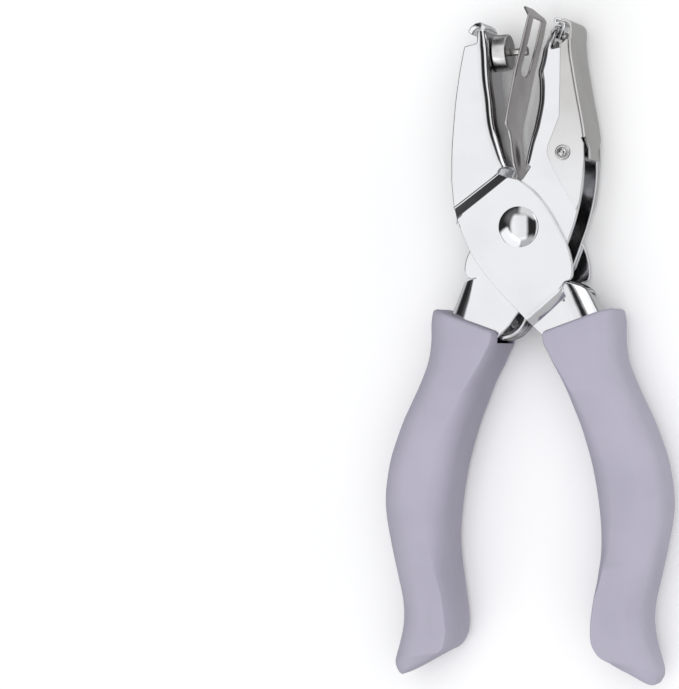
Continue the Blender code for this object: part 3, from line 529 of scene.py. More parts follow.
def smooth_line(points: Line | Outline, steps: int = STEPS) -> Line:
    """A rounder line through the same points.

    Args:
        points: The line's points, at least two.
        steps: How many pieces each stretch is divided into.

    Returns:
        The line with the new points between the old ones.
    """
    places = [Vector(point) for point in points]
    rows = [2 * places[0] - places[1]] + places + [2 * places[-1] - places[-2]]
    made = [places[0]]
    for a, b, c, d in zip(rows, rows[1:], rows[2:], rows[3:]):
        t1 = (b - a).length ** 0.5
        t2 = t1 + (c - b).length ** 0.5
        t3 = t2 + (d - c).length ** 0.5
        for step in range(1, steps + 1):
            t = t1 + (t2 - t1) * step / steps
            ab = (a * (t1 - t) + b * t) / t1
            bc = (b * (t2 - t) + c * (t - t1)) / (t2 - t1)
            cd = (c * (t3 - t) + d * (t - t2)) / (t3 - t2)
            abc = (ab * (t2 - t) + bc * t) / t2
            bcd = (bc * (t3 - t) + cd * (t - t1)) / (t3 - t1)
            made.append((abc * (t2 - t) + bcd * (t - t1)) / (t2 - t1))
    return [(place.x, place.y) for place in made]


def moved_line(points: Line, distance: float, side: int) -> Line:
    """A line moved sideways by a distance.

    Args:
        points: The line's points.
        distance: How far it moves.
        side: 1 where the line's end moves towards +X, and -1 where it moves towards -X.

    Returns:
        The moved line.
    """
    across = []
    for i in range(len(points)):
        ahead = points[min(i + 1, len(points) - 1)]
        behind = points[max(i - 1, 0)]
        across.append(Vector((behind[1] - ahead[1], ahead[0] - behind[0])).normalized())
    if across[-1].x * side < 0:
        distance = -distance
    return [(x + way.x * distance, y + way.y * distance) for (x, y), way in zip(points, across)]


def mirrored(points: Line) -> Line:
    """The same line on the other side of the pivot."""
    return [(-x, y) for x, y in points]


def between(a: Point, b: Point, share: float) -> Point:
    """The point a share of the way from a to b."""
    return (a[0] + (b[0] - a[0]) * share, a[1] + (b[1] - a[1]) * share)


# Mesh makers


def to_world(place: Place) -> Place:
    """Metres on the table from millimetres round the pivot."""
    return (place[0] * MM, place[1] * MM, (place[2] + MID_HEIGHT) * MM)


def mesh_piece(name: str, shape: bmesh.types.BMesh) -> bpy.types.Object:
    """An object from a mesh in millimetres.

    Args:
        name: The object's name.
        shape: The mesh, which is used up.

    Returns:
        The object, in metres, linked to the scene.
    """
    for vertex in shape.verts:
        vertex.co = to_world(vertex.co)
    data = bpy.data.meshes.new(name)
    shape.to_mesh(data)
    shape.free()
    data.shade_smooth()
    piece = bpy.data.objects.new(name, data)
    bpy.context.scene.collection.objects.link(piece)
    return piece


def add_modifier(piece: bpy.types.Object, kind: str, **settings: Any) -> None:
    """Add a modifier.

    Args:
        piece: The piece that gets it.
        kind: The modifier's type.
        settings: Its settings by name.
    """
    modifier = piece.modifiers.new(kind.lower(), kind)
    for name, value in settings.items():
        setattr(modifier, name, value)


def round_edges(piece: bpy.types.Object, width: float, segments: int = 3) -> None:
    """Round the sharp edges and even out the shading.

    Args:
        piece: The piece.
        width: How wide the rounding is.
        segments: How many faces it has.
    """
    add_modifier(
        piece,
        "BEVEL",
        width=width * MM,
        segments=segments,
        limit_method="ANGLE",
        angle_limit=SHARP_EDGE,
        use_clamp_overlap=False,
        miter_outer="MITER_ARC",
    )
    add_modifier(piece, "WEIGHTED_NORMAL", mode="FACE_AREA", weight=70, keep_sharp=False)


def take_out(piece: bpy.types.Object, cutter: bpy.types.Object, rounding: float | None = None) -> None:
    """Cut a cutter's space out of a piece for good, and drop the cutter.

    Args:
        piece: The piece.
        cutter: A closed piece that fills the space.
        rounding: How wide the edges are rounded after the cut, if they are.
    """
    add_modifier(piece, "BOOLEAN", operation="DIFFERENCE", object=cutter, solver="EXACT")
    if rounding:
        round_edges(piece, rounding)
    graph = bpy.context.evaluated_depsgraph_get()
    data = bpy.data.meshes.new_from_object(piece.evaluated_get(graph))
    piece.modifiers.clear()
    piece.data = data
    bpy.data.objects.remove(cutter, do_unlink=True)


def give_finish(piece: bpy.types.Object, finish: Finish) -> None:
    """Give a piece its material."""
    piece.data.materials.clear()
    piece.data.materials.append(finish.material())


def dress(piece: bpy.types.Object, node: str, body: Body, finish: Finish) -> None:
    """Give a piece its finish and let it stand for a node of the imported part.

    Args:
        piece: The new piece.
        node: The node that it replaces.
        body: The body that it rides on.
        finish: Its finish.
    """
    give_finish(piece, finish)
    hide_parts(node)
    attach(piece, body.value)
    LOG.info("%s stands for %s on %s", piece.name, node, body.value)


def keep_nodes(nodes: tuple[str, ...], finish: Finish) -> None:
    """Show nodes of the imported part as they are, with a better finish."""
    for node in nodes:
        give_finish(bpy.data.objects[node], finish)
        LOG.info("%s keeps its shape, in %s", node, finish.name)


class SheetSkin:
    """The outer face of the upper half of a bent sheet, sewn from flat outlines and strips."""

    def __init__(self) -> None:
        """Start with no faces."""
        self.shape = bmesh.new()
        self.corners: dict = {}

    def corner(self, place: Place) -> bmesh.types.BMVert:
        """The corner at a place.

        Args:
            place: The place.

        Returns:
            The one corner that all faces that meet there share.
        """
        key = tuple(round(value * CORNER_GRID) for value in place)
        if key not in self.corners:
            self.corners[key] = self.shape.verts.new(place)
        return self.corners[key]

    def face(self, places: list[Place]) -> None:
        """Add one face.

        Args:
            places: Its corners in order, of which those that fall together count once.
        """
        ring = list(dict.fromkeys(self.corner(place) for place in places))
        if len(ring) > 2:
            self.shape.faces.new(ring)

    def flat(self, outline: Line, height: float) -> None:
        """Add a flat face with this outline."""
        self.face([(x, y, height) for x, y in outline])

    def strip(self, line: list[Place], other: list[Place]) -> None:
        """Add faces between two lines of as many places."""
        for i in range(len(line) - 1):
            self.face([line[i], line[i + 1], other[i + 1], other[i]])

    def web(
        self,
        points: Line,
        depths: list[float],
        bends: list[float],
        side: int,
        steps: int = 9,
        starts: Outline = ((0.0, 0.0), (0.0, 0.0)),
    ) -> Line:
        """Add the web along a line, with its bend.

        Args:
            points: The web's outer line.
            depths: Half the channel's depth at each point.
            bends: The bend's outer radius at each point.
            side: Which way the cheek lies.
            steps: How many faces the bend has.
            starts: How far the web's start and the bend's at the cheek are moved, which fades in FADE rows.

        Returns:
            The line where the bend meets the cheek.
        """
        across = [Vector(b) - Vector(a) for a, b in zip(points, moved_line(points, 1.0, side))]
        web_move, cheek_move = (Vector(move) for move in starts)
        fades = [max(0.0, 1 - i / FADE) for i in range(len(points))]
        row = []
        for step in range(-1, steps + 1):
            turn = pi / 2 * max(step, 0) / steps
            start_move = web_move.lerp(cheek_move, max(step, 0) / steps)
            following = []
            for (x, y), way, depth, bend, fade in zip(points, across, depths, bends, fades):
                move = way * (bend * (1 - cos(turn))) + start_move * fade
                height = 0.0 if step < 0 else depth - bend * (1 - sin(turn))
                following.append((x + move.x, y + move.y, height))
            if row:
                self.strip(row, following)
            row = following
        return [(x, y) for x, y, _ in following]

    def joggle(
        self, low: Line, high: Line, bottom: float, top: float, foot: float, crown: float, bead: float = 0.0
    ) -> None:
        """Add a slope from one height of the sheet to another, with a soft bend at each end.

        Args:
            low: The line where the slope leaves the lower face.
            high: The line where it reaches the upper face.
            bottom: The lower face's height.
            top: The upper face's height.
            foot: How much of the slope's width its lower bend takes.
            crown: How much its upper bend takes.
            bead: How high the fine bead along its foot stands.
        """
        parts = [k / JOGGLE_STEPS for k in range(JOGGLE_STEPS + 1)]
        shares = [foot * part for part in parts] + [1 - crown * part for part in reversed(parts)]
        steepness = 1 / (1 - foot / 2 - crown / 2)
        row = [(x, y, bottom) for x, y in low]
        for share in shares[1:]:
            if share <= foot:
                rise = steepness * share**2 / (2 * foot) + bead * sin(pi * share / foot) ** 2 / (top - bottom)
            else:
                rise = 1 - steepness * (1 - share) ** 2 / (2 * crown)
            height = bottom + (top - bottom) * rise
            following = [(*between(a, b, share), height) for a, b in zip(low, high)]
            self.strip(row, following)
            row = following

    def tongue(self, points: Line | Outline, half_widths: Sequence[float]) -> None:
        """Add a flat strip that goes on from a web, without cheeks."""
        row = [(x, y, 0.0) for x, y in points]
        self.strip(row, [(x, y, width) for (x, y), width in zip(points, half_widths)])

    def sheet(
        self, name: str, thickness: float, rounding: float, hole: bpy.types.Object | None = None
    ) -> bpy.types.Object:
        """Finish the sheet.

        Args:
            name: The piece's name.
            thickness: The sheet's thickness.
            rounding: How much its cut edges are rounded.
            hole: A closed piece whose space is cut out of it.

        Returns:
            The piece, with both halves, its thickness and soft edges.
        """
        shape = self.shape
        bmesh.ops.recalc_face_normals(shape, faces=shape.faces)
        top = max(shape.faces, key=lambda face: face.calc_center_median().z)
        if top.normal.z < 0:
            bmesh.ops.reverse_faces(shape, faces=shape.faces)
        upper = shape.verts[:] + shape.edges[:] + shape.faces[:]
        lower = bmesh.ops.duplicate(shape, geom=upper)["geom"]
        for item in lower:
            if isinstance(item, bmesh.types.BMVert):
                item.co.z = -item.co.z
        bmesh.ops.reverse_faces(shape, faces=[item for item in lower if isinstance(item, bmesh.types.BMFace)])
        bmesh.ops.remove_doubles(shape, verts=shape.verts, dist=SEAM)
        piece = mesh_piece(name, shape)
        add_modifier(piece, "SOLIDIFY", thickness=thickness * MM, offset=-1)
        if hole:
            take_out(piece, hole, rounding)
        else:
            round_edges(piece, rounding)
        return piece


def filleted(profile: Line, radius: float, steps: int = 4) -> Line:
    """A profile whose corners are rounded.

    Args:
        profile: Radii and heights, down the outer side from the top.
        radius: The rounding's radius, less where the sides are short.
        steps: How many faces each corner has.

    Returns:
        The rounder profile.
    """
    made = [profile[0]]
    for a, b, c in zip(profile, profile[1:], profile[2:]):
        to_a, to_c = Vector(a) - Vector(b), Vector(c) - Vector(b)
        turn = acos(max(-1.0, min(1.0, to_a.normalized().dot(to_c.normalized()))))
        reach = min(radius, to_a.length * SHORT_SIDE, to_c.length * SHORT_SIDE)
        if turn > NEARLY_STRAIGHT or b[0] == 0:
            made.append(b)
            continue
        first = Vector(b) + to_a.normalized() * reach
        last = Vector(b) + to_c.normalized() * reach
        for step in range(steps + 1):
            share = step / steps
            point = first * (1 - share) ** 2 + Vector(b) * 2 * share * (1 - share) + last * share**2
            made.append((point.x, point.y))
    return made + [profile[-1]]


def turned(
    name: str, profile: Line, place: Place, toward: Place = FRONT, sides: int = 72
) -> bpy.types.Object:
    """A turned piece.

    Args:
        name: The piece's name.
        profile: Radii and heights along the axis, down the outer side from the top.
        place: The axis's start.
        toward: The axis's direction.
        sides: How many sides it has.

    Returns:
        The piece.
    """
    shape = bmesh.new()
    frame = Matrix.Translation(place) @ Vector(toward).to_track_quat("Z", "X").to_matrix().to_4x4()
    angles = [2 * pi * i / sides for i in range(sides)]
    rings = []
    for radius, height in profile:
        points = [(radius * cos(turn), radius * sin(turn), height) for turn in angles]
        if radius < ON_AXIS:
            points = [(0, 0, height)]
        rings.append([shape.verts.new(frame @ Vector(point)) for point in points])
    if len(rings[0]) > 1 and len(rings[-1]) > 1:
        rings.append(rings[0])
    for upper, lower in zip(rings, rings[1:]):
        for i in range(sides):
            j = (i + 1) % sides
            corners = [row[k % len(row)] for row, k in ((upper, i), (lower, i), (lower, j), (upper, j))]
            ring = list(dict.fromkeys(corners))
            if len(ring) > 2:
                shape.faces.new(ring)
    bmesh.ops.recalc_face_normals(shape, faces=shape.faces)
    piece = mesh_piece(name, shape)
    piece.data.set_sharp_from_angle(angle=SMOOTH_BELOW)
    return piece


def dome(radius: float, height: float, base: float, steps: int = 12) -> Line:
    """The profile of a dome.

    Args:
        radius: Its radius at the rim.
        height: How high it stands over the rim.
        base: The rim's height.
        steps: How many faces it has from its top to the rim.

    Returns:
        The profile from its top down to its rim.
    """
    ball = (radius * radius + height * height) / (2 * height)
    opening = atan2(radius, ball - height)
    turns = [opening * step / steps for step in range(steps + 1)]
    return [(ball * sin(turn), base + height - ball + ball * cos(turn)) for turn in turns]


def plug(radius: float, low: float, high: float) -> Line:
    """The profile of a plain round plug between two heights."""
    return [(0.0, high), (radius, high), (radius, low), (0.0, low)]


# The levers


HANDLE_WEB: Line = smooth_line([
    (13.72, -13.03), (15.39, -15.88), (17.44, -19.8), (19.21, -24.21), (20.19, -28.52), (21.76, -32.93),
    (23.72, -37.34), (25.58, -41.55), (27.34, -45.96), (28.62, -50.27), (29.4, -54.59), (29.89, -58.9),
    (29.69, -63.31), (29.11, -67.62), (28.13, -72.03), (27.05, -76.34), (26.26, -80.56), (25.97, -83.99),
], LONG_STEPS)
HANDLE_EDGE: Line = smooth_line([
    (17.44, -83.99), (17.54, -80.56), (18.23, -76.34), (18.82, -72.03), (19.11, -67.62), (18.91, -63.31),
    (18.52, -58.9), (17.84, -54.59), (16.76, -50.27), (15.48, -45.96), (13.92, -41.55), (12.05, -37.34),
    (10.39, -32.93), (8.62, -28.52), (7.15, -25.97), (5.29, -23.72),
], LONG_STEPS)


@dataclass
class Lever:
    """What both levers share: their sheet, its depth, and the wide bend of their handles."""

    thickness: float = 1.2
    half_depth: float = 6.0
    edge_rounding: float = 0.28
    jaw_foot_bend: float = 1.45
    bend_change: int = 2 * STEPS
    handle_bend: float = 5.6
    handle_bend_steps: int = 12
    handle_starts: Outline = ((0.0, 0.0), (0.0, 0.0))

    def handle(self, skin: SheetSkin, line: Line, side: int) -> Line:
        """Add the handle's web, with its bend.

        Args:
            skin: The lever's skin.
            line: The web's outer line.
            side: Which way the cheek lies.

        Returns:
            The line where the bend meets the cheek.
        """
        depths, bends = [self.half_depth] * len(line), [self.handle_bend] * len(line)
        return skin.web(line, depths, bends, side, self.handle_bend_steps, self.handle_starts)


@dataclass
class PunchLever(Lever):
    """Left jaw, raised pivot plates and right handle, bent from one sheet."""

    plate_half_depth: float = 7.5
    jaw_bend: float = 2.5
    handle_starts: Outline = ((1.3, -1.8), (-1.2, 4.6))
    cheek_from: int = 6
    handle_cheek_from: int = 3
    upper_joggle: tuple[float, ...] = (0.22, 0.12, 0.10)
    lower_joggle: tuple[float, ...] = (0.08, 0.5)
    roof_half_depths: tuple[float, ...] = (2.6, 3.2, 3.7, 4.1, 4.4, 4.45)
    roof_bend: float = 1.5
    roof: Outline = (
        (-13.1, 43.05), (-12.2, 44.0), (-11.0, 44.65), (-9.85, 44.75), (-8.95, 44.25), (-8.35, 43.1),
    )
    jaw: Outline = (
        (-8.35, 43.1), (-7.92, 41.28), (-7.6, 39.52), (-7.4, 37.0), (-7.28, 34.4), (-6.96, 31.0),
        (-6.48, 27.64), (-6.0, 22.92), (-5.32, 20.0), (-3.92, 15.12), (-3.28, 13.2),
    )
    jaw_edge: Outline = (
        (-15.76, 10.44), (-15.68, 17.12), (-15.32, 22.0), (-14.88, 27.0), (-14.56, 29.52), (-13.8, 34.44),
        (-12.8, 39.4),
    )
    upper_foot: Outline = ((-15.2, 4.62), (-10.12, 8.26), (-5.32, 11.74))
    upper_top: Outline = ((-14.0, 1.9), (-8.2, 6.2), (-2.2, 10.7))
    lower_top: Outline = ((0.9, -19.2), (5.0, -15.8), (9.5, -12.7))
    lower_foot: Outline = ((2.88, -21.5), (6.6, -18.36), (10.25, -14.9))
    plate_right: Outline = (
        (0.02, 10.1), (3.0, 7.84), (4.8, 5.9), (6.56, 3.5), (8.1, 0.9), (9.66, -2.1), (10.9, -4.4),
        (11.8, -7.6), (11.94, -10.4), (11.45, -11.4), (10.3, -11.8),
    )
    plate_left: Outline = (
        (-0.28, -18.0), (-6.7, -11.3), (-10.6, -5.9), (-12.7, -1.6),
    )

    def build(self) -> None:
        """Build the lever and dress it."""
        skin = SheetSkin()
        skin.tongue(self.roof, self.roof_half_depths)
        line = smooth_line(self.jaw)
        bends = []
        for i in range(len(line)):
            from_tip = min(1.0, i / self.bend_change)
            from_foot = min(1.0, (len(line) - 1 - i) / self.bend_change)
            tip = self.roof_bend + (self.jaw_bend - self.roof_bend) * from_tip
            bends.append(tip + (self.jaw_foot_bend - tip) * (1 - from_foot))
        crease = skin.web(line, [self.half_depth] * len(line), bends, -1)
        foot, top = smooth_line(self.upper_foot), smooth_line(self.upper_top)
        skin.flat(crease[self.cheek_from :] + foot[::-1] + smooth_line(self.jaw_edge), self.half_depth)
        skin.joggle(foot, top, self.half_depth, self.plate_half_depth, *self.upper_joggle)
        lower_top, lower_foot = smooth_line(self.lower_top), smooth_line(self.lower_foot)
        plate = top + smooth_line(self.plate_right) + lower_top[::-1] + smooth_line(self.plate_left)
        skin.flat(plate, self.plate_half_depth)
        skin.joggle(lower_foot, lower_top, self.half_depth, self.plate_half_depth, *self.lower_joggle)
        crease = self.handle(skin, HANDLE_WEB, -1)
        skin.flat(crease[self.handle_cheek_from :] + HANDLE_EDGE + lower_foot[:-1], self.half_depth)
        lever = skin.sheet("punch_lever_sheet", self.thickness, self.edge_rounding)
        dress(lever, "punch_lever", Body.PUNCH, CHROME)


@dataclass
class DieLever(Lever):
    """Right jaw, pivot plates and left handle, bent from one sheet."""

    jaw_bend: float = 2.1
    handle_starts: Outline = ((-0.4, -0.4), (-0.94, 5.06))
    tip_bend: float = 1.3
    tip_steps: int = 2
    die_place: Place = (5.33, 38.385, 0.0)
    die_tilt: float = 11.8
    die_hole: float = 2.04
    die_reach: float = 1.5
    die_sides: int = 48
    tip: Outline = ((6.6, 43.72), (6.08, 42.28), (5.4, 40.4), (4.64, 38.72))
    tip_shares: tuple[float, ...] = (0.25, 0.75, 0.95, 1.0)
    jaw: Outline = (
        (4.64, 38.72), (3.92, 35.28), (3.4, 33.4), (3.64, 31.68), (3.72, 29.52), (3.56, 26.6),
        (2.56, 21.68), (1.64, 18.0), (0.76, 13.36),
    )
    jaw_edge: Outline = (
        (10.48, -3.4), (11.88, 0.44), (13.16, 5.32), (13.84, 9.64), (13.96, 14.32), (13.32, 18.88),
        (12.6, 22.48), (11.8, 27.0), (11.2, 31.0), (10.68, 35.0), (10.32, 38.8),
    )
    plate_left: Outline = (
        (0.5, 10.6), (-2.6, 8.0), (-4.8, 6.0), (-6.56, 3.6), (-8.1, 1.0), (-9.66, -2.0), (-11.3, -4.6),
        (-12.3, -6.6), (-12.7, -9.2), (-12.15, -10.4), (-11.2, -10.9), (-10.3, -10.8),
    )
    plate_right: Outline = ((-2.6, -21.2), (-0.3, -18.0), (8.5, -8.7))

    def build(self) -> None:
        """Build the lever and dress it."""
        skin = SheetSkin()
        shares = []
        for low, high in zip(self.tip_shares, self.tip_shares[1:]):
            shares += [low, (low + high) / 2]
        line = smooth_line(self.tip, self.tip_steps)[:-1] + smooth_line(self.jaw)
        shares += [1.0] * (len(line) - len(shares))
        depths = [self.tip_bend + (self.half_depth - self.tip_bend) * share for share in shares]
        last = self.tip_steps * (len(self.tip) - 1)
        widening = [min(1.0, i / last) for i in range(len(line))]
        bends = [self.tip_bend + (self.jaw_bend - self.tip_bend) * share for share in widening]
        for i in range(self.bend_change):
            bends[-1 - i] = self.jaw_foot_bend + (self.jaw_bend - self.jaw_foot_bend) * i / self.bend_change
        jaw = skin.web(line, depths, bends, 1)[last:]
        handle = self.handle(skin, mirrored(HANDLE_WEB), 1)
        cheek = jaw + smooth_line(self.plate_left) + handle + mirrored(HANDLE_EDGE)
        skin.flat(cheek + list(self.plate_right) + smooth_line(self.jaw_edge), self.half_depth)
        toward = (cos(radians(self.die_tilt)), -sin(radians(self.die_tilt)), 0.0)
        bore = plug(self.die_hole, -self.die_reach, self.die_reach)
        hole = turned("die_bore", bore, self.die_place, toward, self.die_sides)
        lever = skin.sheet("die_lever_sheet", self.thickness, self.edge_rounding, hole)
        dress(lever, "die_lever", Body.DIE, CHROME)


# Pivot and punch


@dataclass
class PivotSet:
    """The domed rivet that both levers turn on, its washer and the sleeve."""

    shank: float = 2.0
    head: float = 4.4
    head_height: float = 1.7
    rim: float = 0.12
    front: float = 7.7
    tail: float = 3.4
    tail_thickness: float = 0.6
    fillet: float = 0.16
    sides: int = 96

    def build(self) -> None:
        """Build the rivet and dress what it carries."""
        tail_top = self.tail_thickness - MID_HEIGHT
        profile = dome(self.head, self.head_height - self.rim, self.front + self.rim) + [
            (self.head, self.front), (self.shank, self.front), (self.shank, tail_top),
            (self.tail, tail_top), (self.tail, -MID_HEIGHT), (0.0, -MID_HEIGHT),
        ]
        rivet = turned("pivot_rivet_head", filleted(profile, self.fillet), (0, 0, 0), sides=self.sides)
        dress(rivet, "pivot_rivet", Body.PUNCH, CHROME)
        keep_nodes(("pivot_washer", "pivot_sleeve"), TurnedSteel(name="turned_steel_pivot"))


@dataclass
class PunchSet:
    """The shouldered holder on the punch jaw, with the thin punch in it.

    Heights are along the punch's axis, from its start.
    """

    start: Place = (-7.496, 38.2, 0.0)
    tilt: float = 2.6
    holder: float = 4.0
    chamfer: float = 0.25
    stud: float = 1.6
    stud_head: float = 2.6
    stud_top: float = -2.5
    stud_end: float = -3.3
    back: float = 0.3
    front: float = 3.4
    bore_foot: float = 1.0
    reach: float = 7.3
    tip: float = 1.0
    tip_length: float = 1.6
    taper_end: float = 1.8
    pin: float = 0.8
    pin_foot: float = 1.1
    play: float = 0.1
    holder_fillet: float = 0.10
    pin_fillet: float = 0.06
    holder_sides: int = 96
    pin_sides: int = 64
    # Painted shade: the very dark colour on the end faces of the holder and the punch
    painted_end_shade: Place = (0.17, 0.165, 0.16)

    def build(self) -> None:
        """Build the holder and the punch."""
        toward = (cos(radians(self.tilt)), sin(radians(self.tilt)), 0.0)
        steel = TurnedSteel(
            name="turned_steel_punch", origin=self.start, toward=toward, end_face_shade=self.painted_end_shade
        )
        bore = self.pin + self.play
        holder = [
            (0.0, self.bore_foot), (bore, self.bore_foot), (bore, self.front),
            (self.holder - self.chamfer, self.front), (self.holder, self.front - self.chamfer),
            (self.holder, self.back), (self.stud, self.back), (self.stud, self.stud_top),
            (self.stud_head, self.stud_top), (self.stud_head, self.stud_end), (0.0, self.stud_end),
        ]
        profile = filleted(holder, self.holder_fillet)
        piece = turned("punch_holder_turned", profile, self.start, toward, self.holder_sides)
        dress(piece, "punch_holder", Body.PUNCH, steel)
        punch = [
            (0.0, self.reach), (self.tip, self.reach), (self.tip, self.reach - self.tip_length),
            (self.pin, self.reach - self.taper_end), (self.pin, self.pin_foot), (0.0, self.pin_foot),
        ]
        profile = filleted(punch, self.pin_fillet)
        piece = turned("punch_pin_turned", profile, self.start, toward, self.pin_sides)
        dress(piece, "punch_pin", Body.PUNCH, steel)
        keep_nodes(("punch_backing_washer", "die_bush", "catch_rivet"), steel)


@dataclass
class Stripper:
    """The slotted leaf that strips the paper off the punch, with its bent lip and its loop."""

    thickness: float = 0.5
    half_width: float = 6.8
    arm_half_width: float = 4.3
    slot_half_width: float = 3.3
    slot_foot: float = 33.0
    slot_corner: float = 2.2
    rib_foot: float = 12.2
    rib_top: float = 20.2
    rib_half_width: float = 2.6
    rib_height: float = 0.45
    slot_top: float = 45.25
    loop_radius: float = 3.55
    loop_from: float = 180.0
    loop_to: float = 465.0
    lip_back: Point = (1.60, 46.20)
    line: Outline = (
        (0.72, 47.52), (1.92, 45.48), (1.12, 42.0), (0.2, 38.28), (-0.96, 33.88), (-2.2, 27.8),
        (-3.24, 22.48), (-3.0, 20.88), (-2.8, 19.12), (-2.48, 16.12), (-2.16, 14.0), (-1.76, 11.32),
        (-2.6, 6.52), (-3.4, 2.4),
    )
    width_shares: tuple[float, ...] = (0.82, 0.95, 1.0, 1.0, 1.0, 1.0, 0.93, 0.72)
    neck_half_width: float = 3.4
    neck_points: int = 3
    arm_top: float = 25.0
    slot_rises: tuple[float, ...] = (-SEAM, SEAM, 0.08, 0.25, 0.55, 1.0, 1.6)
    lip_steps: int = 4
    body_steps: int = 6
    loop_steps: int = 40
    columns: int = 8

    def rows(self) -> list[tuple[Point, float]]:
        """Each row of the leaf: its point on the middle line and its half width.

        Returns:
            The rows from the lip to the loop's end.
        """
        widths = [self.half_width * share for share in self.width_shares]
        widths += [self.arm_half_width] * (len(self.line) - len(widths) - self.neck_points)
        widths += [self.neck_half_width] * self.neck_points
        rows = []
        for k in range(self.lip_steps):
            share = k / self.lip_steps
            width = widths[0] + (widths[1] - widths[0]) * k / self.lip_steps
            rows.append((between(self.line[0], self.line[1], share), width))
        for i, point in enumerate(smooth_line(self.line[1:], self.body_steps)):
            low = min(i // self.body_steps, len(self.line) - 3)
            share = i / self.body_steps - low
            rows.append((point, widths[low + 1] + (widths[low + 2] - widths[low + 1]) * share))
        for k in range(self.loop_steps + 1):
            turn = radians(self.loop_from + (self.loop_to - self.loop_from) * k / self.loop_steps)
            rows.append(((self.loop_radius * cos(turn), self.loop_radius * sin(turn)), self.neck_half_width))
        return rows

    def slot_reach(self, height: float) -> float:
        """The slot's shape.

        Args:
            height: The height of a row of the leaf.

        Returns:
            Half the slot's width there, or nought outside it.
        """
        if not self.slot_foot < height < self.slot_top:
            return 0.0
        drop = max(0.0, self.slot_foot + self.slot_corner - height)
        return self.slot_half_width - self.slot_corner + (self.slot_corner**2 - drop**2) ** 0.5

    def rib(self, point: Point, across: float) -> float:
        """The rib that is pressed into the arm.

        Args:
            point: A point on the leaf's middle line.
            across: How far a place lies from it across the leaf.

        Returns:
            How far the rib stands out there.
        """
        along = (point[1] - self.rib_foot) / (self.rib_top - self.rib_foot)
        reach = abs(across) / self.rib_half_width
        if not 0 < along < 1 or reach > 1 or point[0] > 0:
            return 0.0
        return self.rib_height * sin(pi * along) ** 1.5 * cos(pi / 2 * reach) ** 2

    def slotted_rows(self) -> list[tuple[Point, float]]:
        """The leaf's rows, with more of them at both ends of the slot.

        Returns:
            The rows from the lip to the loop's end.
        """
        plain = self.rows()
        heights = [self.slot_foot + rise for rise in reversed(self.slot_rises)]
        heights = [self.slot_top + SEAM, self.slot_top - SEAM] + heights
        rows = []
        for (point, width), (following, next_width) in zip(plain, plain[1:]):
            rows.append((point, width))
            for height in heights:
                if point[1] > height > following[1] > self.arm_top:
                    share = (height - point[1]) / (following[1] - point[1])
                    rows.append((between(point, following, share), width + (next_width - width) * share))
        return rows + [plain[-1]]

    def build(self) -> None:
        """Build the leaf and dress it."""
        rows = self.slotted_rows()
        skin = SheetSkin()
        lip_drop = Vector(self.lip_back) - Vector(self.line[0])
        middle = [point for point, _ in rows]
        normals = [Vector(b) - Vector(a) for a, b in zip(middle, moved_line(middle, 1, 1))]
        for side in (1, -1):
            lines = []
            for k, ((point, width), normal) in enumerate(zip(rows, normals)):
                drop = lip_drop * max(0.0, 1 - k / self.lip_steps) if side < 0 else Vector((0, 0))
                reach = self.slot_reach(point[1])
                line = []
                for column in range(self.columns + 1):
                    across = reach + (width - reach) * column / self.columns
                    place = Vector(point) + drop * (across / width) + normal * self.rib(point, across)
                    line.append((place.x, place.y, side * across))
                lines.append(line)
            for line, other in zip(lines, lines[1:]):
                skin.strip(line, other)
        bmesh.ops.recalc_face_normals(skin.shape, faces=skin.shape.faces)
        piece = mesh_piece("stripper_leaf_sheet", skin.shape)
        add_modifier(piece, "SOLIDIFY", thickness=self.thickness * MM, offset=0)
        round_edges(piece, LEAF_ROUNDING, 2)
        dress(piece, "stripper", Body.STRIPPER, LEAF)


# Chip cover and catch


@dataclass
class ChipCover:
    """The thin channel that closes the open side of the die jaw."""

    thickness: float = 0.55
    bend: float = 0.9
    half_depth: float = 6.85
    tab_half_width: float = 3.4
    roof_points: int = 5
    bend_steps: int = 6
    edge_rounding: float = 0.12
    web: Outline = (
        (9.0, 44.4), (10.0, 44.4), (10.8, 44.0), (11.32, 43.2), (11.44, 42.0), (11.32, 40.0),
        (11.48, 37.0), (12.08, 33.28), (12.84, 28.88), (14.2, 21.68), (14.56, 19.0),
    )
    tab: Outline = ((14.76, 16.6), (14.8, 14.32))
    flank: Outline = (
        (14.2, 17.6), (14.28, 14.32), (13.92, 9.64), (13.32, 5.32), (12.48, 3.4), (9.88, 7.92),
        (7.2, 12.8), (6.04, 15.8), (6.32, 17.52), (7.4, 20.2), (8.76, 23.6), (8.92, 31.0), (9.0, 38.88),
    )

    def build(self) -> None:
        """Build the cover and dress it."""
        skin = SheetSkin()
        line = smooth_line(self.web)
        roof_end = self.roof_points * STEPS
        flat_half = self.half_depth - self.bend
        roof = line[: roof_end + 1]
        skin.tongue(roof, [flat_half] * len(roof))
        rest = line[roof_end:]
        crease = skin.web(rest, [self.half_depth] * len(rest), [self.bend] * len(rest), -1, self.bend_steps)
        skin.flat(crease + list(self.flank), self.half_depth)
        start, first, last = line[-1], *self.tab
        skin.face([(*start, 0.0), (*first, 0.0), (*first, self.tab_half_width), (*start, flat_half)])
        skin.tongue([first, last], [self.tab_half_width] * 2)
        cover = skin.sheet("chip_cover_sheet", self.thickness, self.edge_rounding)
        dress(cover, "chip_cover", Body.COVER, SATIN)


